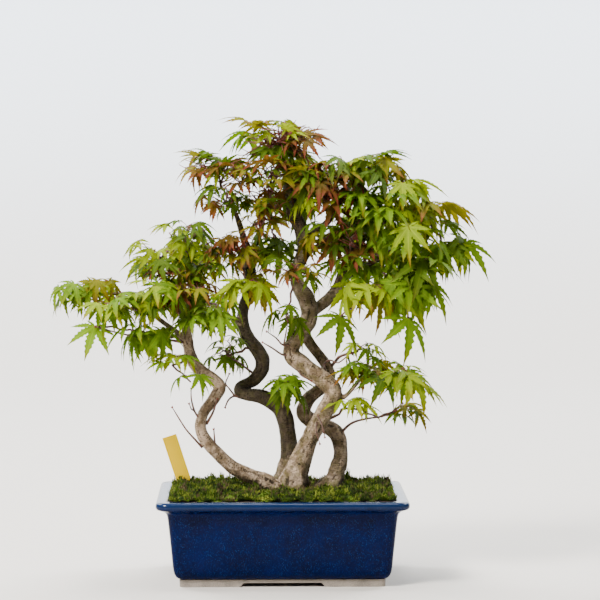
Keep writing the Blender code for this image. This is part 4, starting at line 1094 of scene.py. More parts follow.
@dataclass
class Wood:
    """Trunks, roots and boughs as one skin with the bark's relief.

    Lumps, furrows, grain and flutes are as deep as a share of the limb's radius. The scar's lip and hollow
    are in millimetres. Its reach, lip width and heart are shares of its own radius, and its pale heart and
    dark lip multiply the limb's darkness.
    """

    voxel: float = 1.35
    step: float = 3.0
    sides: int = 18
    relax: float = 0.5
    relax_rounds: int = 3
    lump: float = 0.10
    lump_size: float = 13.0
    furrow: float = 0.06
    furrow_turns: float = 2.4
    furrow_run: float = 26.0
    furrow_gain: float = 1.3
    grain: float = 0.04
    grain_turns: float = 7.0
    grain_run: float = 8.0
    flutes: int = 5
    flute_depth: float = 0.15
    flute_top: float = 158.0
    flute_waver: float = 4.0
    flute_twist: float = 22.0
    scar: Triple = (-30.0, -3.0, 381.0)
    scar_radius: float = 6.5
    scar_reach: float = 1.5
    scar_lip: float = 0.9
    scar_lip_width: float = 0.22
    scar_hollow: float = 0.8
    scar_heart: float = 0.9
    scar_pale: float = 0.25
    scar_dark: float = 1.2
    ground: float = 104.0
    foot_height: float = 26.0
    foot_dark: float = 0.25
    foot_bloom: float = 0.35
    furrow_crack: float = 1.4
    grain_crack: float = 0.8
    # painted shade in the grooves between root flutes
    flute_groove_shade: float = 0.45
    # painted shade: the limbs darken from this height up, over this rise, where the crown shades them
    shade_from: float = 255.0
    shade_over: float = 150.0
    high_shade: float = 0.62
    # painted shade on the side that faces this way, away from the key light
    shaded_way: Triple = (0.80, 0.15, -0.58)
    side_from: float = 0.1
    side_shade: float = 0.55
    samples: list[LimbSample] = field(default_factory=list)

    def build(self) -> bpy.types.Object:
        """Builds the skin and dresses it.

        Returns:
            The piece.
        """
        batch = MeshBatch()
        for limb in LIMBS.values():
            self._lay(batch, limb.points, limb.tone)
        for name, points in BOUGHS.items():
            self._lay(batch, points, LimbTone.DIM if name.startswith("back") else LimbTone.TAN)
        skin = self._fused(batch)
        store_marks(skin, "bark", self._relief(skin))
        piece = link_piece("bark", skin, Bark().make())
        nodes = [node for limb in LIMBS.values() for node in limb.nodes] + list(BOUGHS)
        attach(piece, "root")
        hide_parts(*nodes)
        return piece

    def _lay(self, batch: MeshBatch, points: Sequence[PathPoint], tone: LimbTone) -> None:
        """Adds one limb's tube, and its samples for the relief.

        Args:
            batch: The mesh being gathered.
            points: The limb's bend points.
            tone: Its bark.
        """
        path = smooth_path(points, self.step)
        batch.add(*tube(path, self.sides))
        run = 0.0
        for k, (spot, radius) in enumerate(path):
            run += (spot - path[k - 1][0]).length if k else 0.0
            self.samples.append(LimbSample(spot, radius, run, tone))

    def _fused(self, batch: MeshBatch) -> bpy.types.Mesh:
        """One voxel skin over all the tubes.

        Args:
            batch: The tubes.

        Returns:
            The fused mesh.
        """
        rough = batch.piece("rough_wood", bpy.data.materials.new("rough"), smooth=False)
        remesh = rough.modifiers.new("skin", "REMESH")
        remesh.mode = "VOXEL"
        remesh.voxel_size = self.voxel * MM
        relax = rough.modifiers.new("relax", "SMOOTH")
        relax.factor = self.relax
        relax.iterations = self.relax_rounds
        skin = bpy.data.meshes.new_from_object(rough.evaluated_get(bpy.context.evaluated_depsgraph_get()))
        bpy.data.objects.remove(rough)
        skin.name = "bark"
        return skin

    def _relief(self, skin: bpy.types.Mesh) -> np.ndarray:
        """Moves each point of the skin out or in by the bark's relief.

        Args:
            skin: The fused mesh.

        Returns:
            (darkness, bloom, fissure) for each point.
        """
        tree = KDTree(len(self.samples))
        for k, sample in enumerate(self.samples):
            tree.insert(sample.spot, k)
        tree.balance()
        count = len(skin.vertices)
        places, normals = np.empty(count * 3, np.float32), np.empty(count * 3, np.float32)
        skin.vertices.foreach_get("co", places)
        skin.vertices.foreach_get("normal", normals)
        places, normals = places.reshape(-1, 3), normals.reshape(-1, 3)
        marks = np.zeros((count, 3), np.float32)
        for k in range(count):
            spot = Vector(places[k]) / MM
            near = tree.find_n(spot, 3)
            best = min(near, key=lambda hit: hit[2] / self.samples[hit[1]].radius)
            lift, marks[k] = self._bark_with_painted_shade(spot, Vector(normals[k]), self.samples[best[1]])
            places[k] += normals[k] * lift * MM
        skin.vertices.foreach_set("co", places.ravel())
        skin.update()
        return marks

    def _bark_with_painted_shade(self, spot: Vector, normal: Vector, sample: LimbSample) -> tuple[float, Triple]:
        """The bark at one point: lumps, furrows, grain, fluted roots, the scar and painted shade.

        Args:
            spot: The point.
            normal: The way that the skin faces there.
            sample: The limb's middle line near it.

        Returns:
            How far the point moves out, and its (darkness, bloom, fissure).
        """
        out = (spot - sample.spot).normalized()
        lump = noise.noise(spot / self.lump_size)
        furrow = noise.noise((out * self.furrow_turns + Vector((0.0, 0.0, sample.run / self.furrow_run)))
                             * self.furrow_gain)
        grain = noise.noise(Vector((out.x * self.grain_turns, out.y * self.grain_turns,
                                    sample.run / self.grain_run)))
        flare = max(0.0, 1.0 - (spot.z - self.ground) / (self.flute_top - self.ground))
        flute = flare * math.cos(self.flutes * math.atan2(out.y, out.x) + self.flute_waver * lump
                                 + spot.z / self.flute_twist)
        lift = sample.radius * (self.lump * lump + self.furrow * furrow + self.grain * grain
                                + self.flute_depth * flute)
        darkness, bloom = sample.tone.value
        from_scar = (spot - Vector(self.scar)).length / self.scar_radius
        if from_scar < self.scar_reach:
            lift += self.scar_lip * math.exp(-((from_scar - 1.0) / self.scar_lip_width) ** 2)
            lift -= self.scar_hollow * max(0.0, 1.0 - from_scar)
            darkness *= self.scar_pale if from_scar < self.scar_heart else self.scar_dark
        low = max(0.0, 1.0 - (spot.z - self.ground) / self.foot_height)
        # Painted shade: darker higher up, under the crown.
        high = min(max((spot.z - self.shade_from) / self.shade_over, 0.0), 1.0)
        # Painted shade: darker on the right and under sides, which face away from the key light.
        away = max(0.0, normal.dot(Vector(self.shaded_way)) + self.side_from)
        darkness += (self.high_shade * high + self.side_shade * away) * (1.0 - darkness)
        # The fissure mark is the bark's own dark furrows and grain, plus painted shade in the grooves between
        # root flutes.
        fissure = (max(0.0, -furrow * self.furrow_crack - grain * self.grain_crack)
                   + max(0.0, -flute) * self.flute_groove_shade)
        return lift, (darkness + self.foot_dark * low ** 2, min(1.0, bloom + self.foot_bloom * low), fissure)


@dataclass
class LeafDraft:
    """A leaf while it is drawn, laid flat with its stalk at the origin."""

    fold: float
    points: list[Triple] = field(default_factory=lambda: [(0.0, 0.0, 0.0)])
    marks: list[Triple] = field(default_factory=lambda: [(1.0, 0.0, 0.0)])
    faces: list[Triangle] = field(default_factory=list)

    def put(self, radius: float, angle: float, across: float, rib: float) -> int:
        """Adds a point along a lobe, and off to its side.

        Args:
            radius: How far it is along the lobe.
            angle: The lobe's direction in degrees.
            across: How far it is to the lobe's left.
            rib: How close it is to a rib, from 0 to 1.

        Returns:
            The point's index.
        """
        a = math.radians(angle)
        x = radius * math.cos(a) - across * math.sin(a)
        y = radius * math.sin(a) + across * math.cos(a)
        self.points.append((x, y, self.fold * abs(across)))
        self.marks.append((rib, math.hypot(x, y), 0.0))
        return len(self.points) - 1

    def face(self, side: int, a: int, b: int, c: int) -> None:
        """Adds a triangle that faces up on the lobe's right (-1) or left (1)."""
        self.faces.append((a, b, c) if side < 0 else (a, c, b))


@dataclass
class LeafShape:
    """A palmate leaf with serrated lobes, each given as (direction in degrees, length)."""

    lobes: tuple[Span, ...] = ((-122, 0.32), (-80, 0.62), (-39, 0.86), (0, 1.0), (39, 0.88), (80, 0.60),
                               (122, 0.30))
    heel_turn: float = 24.0
    heel: float = 0.55
    notch: float = 0.155
    width: float = 0.112
    widest: float = 0.40
    taper: float = 1.35
    teeth: int = 5
    first_tooth: float = 0.27
    tooth_step: float = 0.125
    tooth_length: float = 0.05
    tooth: float = 0.20
    fold: float = 0.42

    def flat(self) -> tuple[np.ndarray, np.ndarray, np.ndarray]:
        """Draws the leaf of length 1, laid flat with its middle rib along +X.

        Returns:
            Points, triangles, and (closeness to a rib, distance from the stalk, 0) at each point.
        """
        draft = LeafDraft(self.fold)
        angles = [angle for angle, _ in self.lobes]
        between = [(a + b) / 2 for a, b in zip(angles, angles[1:])]
        edges = [angles[0] - self.heel_turn, *between, angles[-1] + self.heel_turn]
        sinus = [draft.put(self.notch * (self.heel if k in (0, len(self.lobes)) else 1.0), angle, 0.0, 0.0)
                 for k, angle in enumerate(edges)]
        for k, (angle, share) in enumerate(self.lobes):
            self._lobe(draft, angle, share, sinus[k], sinus[k + 1])
        return np.array(draft.points), np.array(draft.faces), np.array(draft.marks)

    def _lobe(self, draft: LeafDraft, angle: float, share: float, right: int, left: int) -> None:
        """Adds one lobe between its two notches.

        Args:
            draft: The leaf so far.
            angle: The lobe's direction in degrees.
            share: Its length.
            right: The notch on its right.
            left: The notch on its left.
        """
        spots = [self.first_tooth + self.tooth_step * j for j in range(self.teeth)]
        ribs = [draft.put(share * t, angle, 0.0, 1.0) for t in spots]
        tip = draft.put(share, angle, 0.0, 0.5)
        for side, notch in ((-1, right), (1, left)):
            edge = notch
            draft.face(side, 0, edge, ribs[0])
            for j, t in enumerate(spots):
                back = t + self.tooth_length
                out = side * share * self._half_width(t) * (1 + self.tooth)
                outer = draft.put(share * t, angle, out, 0.0)
                out = side * share * self._half_width(back) * (1 - self.tooth)
                inner = draft.put(share * back, angle, out, 0.0)
                draft.face(side, ribs[j], edge, outer)
                draft.face(side, ribs[j], outer, inner)
                draft.face(side, ribs[j], inner, tip if j == len(spots) - 1 else ribs[j + 1])
                edge = inner

    def _half_width(self, t: float) -> float:
        """A lobe's half width.

        Args:
            t: How far along the lobe, from 0 to 1.

        Returns:
            The half width, as a share of the lobe's length.
        """
        past = self.widest / (1.0 - self.widest)
        share = min(max(t, 0.0), 1.0)
        peak = self.widest ** past * (1.0 - self.widest)
        return self.width * (share ** past * (1.0 - share) / peak) ** self.taper


@dataclass
class Spray:
    """Where one fan of leaves hangs: its hub, azimuth, droop, leaf length and tint."""

    hub: Vector
    azimuth: float
    droop: float
    length: float
    tint: Tint


@dataclass
class Crown:
    """All the leaf masses: stems, twigs, leaf stalks and leaves.

    A chance draw lies in each Span that is named a range. Angles are in degrees. A fan's leaf is given as
    (turn, how far back on the shoot it springs, share of the spray's leaf length).
    """

    stem_radius: float = 2.1
    twig_radius: float = 1.3
    shoot_radius: float = 0.85
    stalk_radius: float = 0.38
    bud_radii: Triple = (0.35, 1.0, 0.15)
    bud_length: float = 3.2
    bud_spread: float = 1.4
    bud_belly: float = 0.45
    limb_step: float = 6.0
    bare_step: float = 4.0
    stem_under: float = 3.0
    stem_taper: float = 0.9
    twig_sides: int = 6
    twig_step: float = 7.0
    twig_rise: float = 0.05
    crook: float = 0.06
    crook_most: float = 2.2
    knot: float = 1.16
    side_turn: float = 62.0
    side_reach: float = 0.6
    side_lift: Span = (0.5, 0.3)
    side_back: float = 0.12
    side_back_most: float = 0.5
    side_radius: float = 0.75
    shoots_per_spray: int = 3
    shoot_turn_range: Span = (-40.0, 40.0)
    shoot_reach_range: Span = (0.7, 1.35)
    shoot_level_range: Span = (-1.6, 1.4)
    shoot_root_range: Span = (0.3, 0.95)
    shoot_bend_range: Span = (-0.15, 0.15)
    shoot_first: float = 1.1
    shoot_taper: float = 0.12
    spray_gain: float = 0.74
    spray_turn_range: Span = (-30.0, 30.0)
    hub_inner: float = 0.25
    hub_least: float = 0.15
    stack: float = 1.15
    lead_pull: float = 0.55
    stray_range: Span = (-0.5, 0.5)
    level_droop: float = 14.0
    spray_droop_range: Span = (-24.0, 18.0)
    spray_size_range: Span = (0.78, 1.06)
    size_gain: float = 1.10
    # sprays nearer the middle or lower than these count as inside the crown; this share of them take the
    # darkest tint as painted shade
    inner_ring: float = 0.45
    inner_level: float = -0.35
    inner_shade_share: float = 0.45
    least_twig: float = 3.0
    spray_taper: float = 0.7
    fan: tuple[Triple, ...] = (
        (4, 0.0, 1.0), (-66, 0.0, 0.92), (62, 0.0, 0.94),
        (118, 0.35, 0.78), (-112, 0.4, 0.80), (178, 0.1, 0.66))
    fan_counts: tuple[int, ...] = (3, 3, 4, 4)
    fan_turn_range: Span = (-24.0, 24.0)
    stalk_range: Span = (7.0, 18.0)
    stalk_lift_range: Span = (-5.0, 8.0)
    leaf_size_range: Span = (0.8, 1.1)
    leaf_droop_range: Span = (-32.0, 26.0)
    droop_most: float = 88.0
    foot_back: float = 0.15
    foot_limits: Span = (0.3, 0.97)
    sag: float = 0.34
    sag_range: Span = (0.5, 1.7)
    cup_range: Span = (0.0, 0.3)
    roll_range: Span = (-30.0, 30.0)
    stalk_rise: float = 0.12
    reach_margin: Triple = (11.0, 3.0, 9.0)
    leaves: dict[Tint, MeshBatch] = field(default_factory=lambda: {tint: MeshBatch() for tint in Tint})
    twigs: MeshBatch = field(default_factory=MeshBatch)
    stalks: MeshBatch = field(default_factory=MeshBatch)
    leaf_count: int = 0
    flat: tuple[np.ndarray, ...] = field(init=False)
    low: np.ndarray = field(init=False)
    high: np.ndarray = field(init=False)

    def __post_init__(self) -> None:
        """Draws the leaf, and works out the box that every leaf keeps inside."""
        self.flat = LeafShape().flat()
        self.low = np.array(CAD_BOUNDS[0]) / MM - self.reach_margin
        self.high = np.array(CAD_BOUNDS[1]) / MM + self.reach_margin

    def build(self) -> list[bpy.types.Object]:
        """Grows every mass and joins the leaves by tint.

        Returns:
            The pieces.
        """
        rng = random.Random(SEED)
        for name, mass in MASSES.items():
            before = self.leaf_count
            self._grow(mass, rng)
            log.info("%s: %d leaves", name, self.leaf_count - before)
        for points in BARE_TWIGS.values():
            self.twigs.add(*tube(smooth_path(points, self.bare_step), self.twig_sides))
        self._buds()
        young = TwigBark("twig_bark", (0.15, 0.065, 0.040), (0.05, 0.024, 0.016))
        red = TwigBark("stalk_red", (0.20, 0.030, 0.016), (0.09, 0.022, 0.008))
        pieces = [self._dress(self.twigs.piece("twigs", young.make())),
                  self._dress(self.stalks.piece("leaf_stalks", red.make()))]
        for tint, batch in self.leaves.items():
            pieces.append(self._dress(batch.piece(tint.value.name, tint.value.make(), "leaf")))
        return pieces

    def _dress(self, piece: bpy.types.Object) -> bpy.types.Object:
        """Makes a piece ride on the plant and stand for the leaf masses.

        Args:
            piece: The piece.

        Returns:
            The piece.
        """
        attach(piece, "root")
        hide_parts(*MASSES)
        return piece

    def _grow(self, mass: LeafMass, rng: random.Random) -> None:
        """Grows one mass by the part's rule: a stem through its pads, side twigs, and sprays along them.

        Args:
            mass: The leaf mass.
            rng: The seeded source of chance.
        """
        points = BOUGHS.get(mass.limb) or LIMBS[mass.limb].points
        path = smooth_path(points, self.limb_step)
        start = path[round(mass.share * (len(path) - 1))][0]
        nodes = [start]
        for pad in mass.pads:
            middle = Vector(pad.centre)
            parent = min(nodes, key=lambda node: (node - middle).length)
            under = pad.half[2] * 0.5 + self.stem_under if pad.count > 1 else 0.0
            low = middle - Vector((0, 0, under))
            radius = self.stem_radius if parent is start else self.twig_radius
            self._twig(parent, low, radius, self.twig_radius * self.stem_taper, rng)
            rods = [(parent, low)] + self._side_twigs(pad, parent, low, rng)
            nodes.append(low)
            self._sprays(pad, rods, rng)
            if pad.mood in (Mood.RUDDY, Mood.YOUNG):
                self._bare_shoots(pad, rods, rng)

    def _side_twigs(self, pad: Pad, parent: Vector, low: Vector, rng: random.Random) -> list[Rod]:
        """Adds the side twigs of a pad with several sprays.

        Args:
            pad: The pad.
            parent: Where its stem springs from.
            low: Its stem's tip.
            rng: The seeded source of chance.

        Returns:
            The twigs as (start, end).
        """
        rods = []
        for k in range(2 + pad.count // 3 if pad.count > 3 else 0):
            turn = math.radians(pad.bearing + self.side_turn + GOLDEN_TURN * k)
            lift = Vector((0, 0, pad.half[2] * (self.side_lift[0] - self.side_lift[1] * (k % 3))))
            end = Vector(pad.centre) + pad.rim(turn, self.side_reach) + lift
            spring = low.lerp(parent, min(self.side_back * k, self.side_back_most))
            self._twig(spring, end, self.twig_radius * self.side_radius, self.shoot_radius, rng)
            rods.append((spring, end))
        return rods

    def _twig(self, start: Vector, end: Vector, first: float, last: float, rng: random.Random) -> None:
        """Adds a slightly crooked twig.

        Args:
            start: Where it springs from.
            end: Its tip.
            first: Its radius at the start.
            last: Its radius at the tip.
            rng: The seeded source of chance.
        """
        length = (end - start).length
        steps = max(3, round(length / self.twig_step))
        wobble = min(self.crook_most, self.crook * length)
        path = []
        for k, spot in enumerate(arc(start, end, -self.twig_rise * length, steps)):
            free = 0.0 if k in (0, steps) else wobble
            shift = Vector([rng.uniform(-1, 1) * free for _ in range(3)])
            knot = self.knot if k % 2 else 1.0
            path.append((spot + shift, (first + (last - first) * k / steps) * knot))
        self.twigs.add(*tube(path, self.twig_sides))

    def _bare_shoots(self, pad: Pad, rods: list[Rod], rng: random.Random) -> None:
        """Adds the thin red shoots that show among young leaves.

        Args:
            pad: The pad.
            rods: Its twigs as (start, end).
            rng: The seeded source of chance.
        """
        middle = Vector(pad.centre)
        for k in range(pad.count * self.shoots_per_spray):
            turn = math.radians(pad.bearing + GOLDEN_TURN * k + rng.uniform(*self.shoot_turn_range))
            reach = pad.rim(turn) * rng.uniform(*self.shoot_reach_range)
            tip = middle + reach + Vector((0, 0, pad.half[2] * rng.uniform(*self.shoot_level_range)))
            start, end = rods[k % len(rods)]
            root = start.lerp(end, rng.uniform(*self.shoot_root_range))
            path = arc(root, tip, rng.uniform(*self.shoot_bend_range) * (tip - root).length, 5)
            radii = [self.shoot_radius * (self.shoot_first - self.shoot_taper * j) for j in range(len(path))]
            self.stalks.add(*tube(list(zip(path, radii)), 5))

    def _sprays(self, pad: Pad, rods: list[Rod], rng: random.Random) -> None:
        """Hangs a pad's sprays round it.

        Args:
            pad: The pad.
            rods: Its twigs as (start, end).
            rng: The seeded source of chance.
        """
        middle = Vector(pad.centre)
        if pad.count == 1:
            self._lone_leaf(Spray(middle, pad.bearing, pad.droop, pad.length, pad.mood.deal(rng)), rods, rng)
            return
        count = max(1, round(pad.count * self.spray_gain)) if pad.count else 0
        lead = level_way(math.radians(pad.bearing))
        for i in range(count):
            level = 1.0 - 2.0 * (i + rng.random()) / count
            turn = math.radians(pad.bearing + GOLDEN_TURN * i + rng.uniform(*self.spray_turn_range))
            ring = math.sqrt(max(self.hub_least, 1.0 - level * level)) * rng.uniform(self.hub_inner, 1.0)
            hub = middle + pad.rim(turn) * ring + Vector((0, 0, pad.half[2] * level * self.stack))
            stray = Vector((rng.uniform(*self.stray_range), rng.uniform(*self.stray_range), 0.0))
            way = level_way(turn) * ring + lead * self.lead_pull + stray
            droop = pad.droop - self.level_droop * level + rng.uniform(*self.spray_droop_range)
            size = pad.length * rng.uniform(*self.spray_size_range) * self.size_gain
            azimuth = math.degrees(math.atan2(way.y, way.x))
            # Painted shade: sprays inside the crown and low in it often take the darkest tint.
            inner = ring < self.inner_ring or level < self.inner_level
            tint = Tint.DEEP if inner and rng.random() < self.inner_shade_share else pad.mood.deal(rng)
            self._fan(Spray(hub, azimuth, droop, size, tint), rods, rng)

    def _lone_leaf(self, spray: Spray, rods: list[Rod], rng: random.Random) -> None:
        """Adds a spray that is one leaf alone."""
        root = self._root(spray, rods)
        self._leaf(root, spray.hub, spray.azimuth, spray.droop, spray.length, spray.tint, rng)

    def _fan(self, spray: Spray, rods: list[Rod], rng: random.Random) -> None:
        """Adds one spray: a fine shoot from the nearest twig, with a fan of leaves at its tip.

        Args:
            spray: The spray.
            rods: Twigs it can spring from.
            rng: The seeded source of chance.
        """
        root = self._root(spray, rods)
        if (spray.hub - root).length > self.least_twig:
            self._twig(root, spray.hub, self.shoot_radius, self.shoot_radius * self.spray_taper, rng)
        for turn, back, share in self.fan[:rng.choice(self.fan_counts)]:
            azimuth = spray.azimuth + turn + rng.uniform(*self.fan_turn_range)
            angle = math.radians(azimuth)
            stalk = rng.uniform(*self.stalk_range)
            foot = spray.hub.lerp(root, back)
            lift = rng.uniform(*self.stalk_lift_range)
            hub = foot + Vector((math.cos(angle) * stalk, math.sin(angle) * stalk, lift))
            size = spray.length * share * rng.uniform(*self.leaf_size_range)
            droop = min(spray.droop + rng.uniform(*self.leaf_droop_range), self.droop_most)
            self._leaf(foot, hub, azimuth, droop, size, spray.tint, rng)

    def _root(self, spray: Spray, rods: list[Rod]) -> Vector:
        """The nearest place on a twig that a spray can spring from.

        Args:
            spray: The spray.
            rods: The twigs as (start, end).

        Returns:
            The place.
        """
        feet = []
        for start, end in rods:
            along = end - start
            share = (spray.hub - start).dot(along) / max(along.length_squared, 1e-6) - self.foot_back
            feet.append(start + along * min(max(share, self.foot_limits[0]), self.foot_limits[1]))
        return min(feet, key=lambda spot: (spot - spray.hub).length)

    def _leaf(self, root: Vector, hub: Vector, azimuth: float, droop: float, length: float, tint: Tint,
              rng: random.Random) -> None:
        """Adds one leaf and its stalk, unless the leaf would leave the box from low to high.

        Args:
            root: Where the stalk springs from.
            hub: Where the blade starts.
            azimuth: The way the blade points, in degrees.
            droop: How far it hangs below the level, in degrees.
            length: The blade's length.
            tint: Its colour.
            rng: The seeded source of chance.
        """
        points, faces, marks = self.flat
        bent = points * length
        radius = np.hypot(points[:, 0], points[:, 1])
        turn = np.arctan2(points[:, 1], points[:, 0])
        sag = self.sag * rng.uniform(*self.sag_range)
        cup = rng.uniform(*self.cup_range)
        bent[:, 2] += -length * (sag * radius ** 2 + cup * radius * (1 - np.cos(turn)))
        roll = rng.uniform(*self.roll_range)
        matrix = Matrix.Translation(hub)
        for angle, axis in ((azimuth, "Z"), (droop, "Y"), (roll, "X")):
            matrix = matrix @ Matrix.Rotation(math.radians(angle), 4, axis)
        table = np.array(matrix)
        own = marks.copy()
        own[:, 2] = rng.random()
        placed = bent @ table[:3, :3].T + table[:3, 3]
        if (placed < self.low).any() or (placed > self.high).any():
            return
        self.leaves[tint].add(placed, faces, own)
        stalk = arc(root, hub, -self.stalk_rise * (hub - root).length, 3)
        self.stalks.add(*tube([(spot, self.stalk_radius) for spot in stalk], 4))
        self.leaf_count += 1

    def _buds(self) -> None:
        """Adds a small paired bud at each bare twig's tip."""
        foot, belly, point = self.bud_radii
        for points in BARE_TWIGS.values():
            tip, before = Vector(points[-1][:3]), Vector(points[-2][:3])
            along = (tip - before).normalized()
            side = along.orthogonal().normalized()
            for turn in (-1, 1):
                end = tip + along * self.bud_length + side * turn * self.bud_spread
                middle = tip.lerp(end, self.bud_belly)
                self.stalks.add(*tube([(tip, foot), (middle, belly), (end, point)], 5))


@dataclass
class Pot:
    """The glazed tray: rounded body, rolled lip and drafted inner wall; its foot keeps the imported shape.

    An outline's points are (distance in from the lip, height).
    """

    middle: Span = (15.0, 0.0)
    length: float = 300.0
    depth: float = 215.0
    corner: float = 15.0
    corner_least: float = 4.0
    corner_draft: float = 0.35
    corner_steps: int = 12
    outline_step: float = 2.5
    sharp_from: float = 50.0
    outside: tuple[Span, ...] = (
        (28.0, 9.3), (25.0, 10.8), (22.0, 15.0), (20.0, 24.0), (18.0, 44.0), (15.2, 72.0), (13.6, 85.0),
        (11.5, 89.5), (6.5, 92.6), (1.6, 94.4), (0.2, 96.6), (0.0, 99.0), (0.5, 101.4), (2.2, 103.0))
    inside: tuple[Span, ...] = ((15.8, 103.0), (17.0, 102.0), (17.6, 98.0), (19.5, 70.0))

    def build(self) -> bpy.types.Object:
        """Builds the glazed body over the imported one.

        Returns:
            The piece.
        """
        rows = [self._ring(inset, z) for inset, z in self._profile()]
        size = len(rows[0])
        under, floor = len(rows) * size, len(rows) * size + 1
        points = np.vstack([*rows, [[*self.middle, self.outside[0][1]], [*self.middle, self.inside[-1][1]]]])
        faces = ring_faces(len(rows), size)
        last = (len(rows) - 1) * size
        for k in range(size):
            faces.append((under, (k + 1) % size, k))
            faces.append((floor, last + k, last + (k + 1) % size))
        batch = MeshBatch()
        batch.add(points, np.array(faces))
        piece = batch.piece("glazed_pot", BlueGlaze().make())
        piece.data.set_sharp_from_angle(angle=math.radians(self.sharp_from))
        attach(piece, "root")
        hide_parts("pot")
        return piece

    def _profile(self) -> list[Span]:
        """The body's whole outline, with its outer bends rounded."""
        outer = [(inset, 0.0, z, 1.0) for inset, z in self.outside]
        return [(spot.x, spot.z) for spot, _ in smooth_path(outer, self.outline_step)] + list(self.inside)

    def _ring(self, inset: float, z: float) -> np.ndarray:
        """One level ring of the body.

        Args:
            inset: How far it stands in from the lip.
            z: Its height.

        Returns:
            Its points.
        """
        half_x, half_y = self.length / 2 - inset, self.depth / 2 - inset
        radius = max(self.corner - self.corner_draft * inset, self.corner_least)
        ring = []
        for quarter, (sx, sy) in enumerate([(1, 1), (-1, 1), (-1, -1), (1, -1)]):
            for i in range(self.corner_steps + 1):
                angle = math.radians(90 * quarter + 90 * i / self.corner_steps)
                ring.append((self.middle[0] + sx * (half_x - radius) + radius * math.cos(angle),
                             self.middle[1] + sy * (half_y - radius) + radius * math.sin(angle), z))
        return np.array(ring)


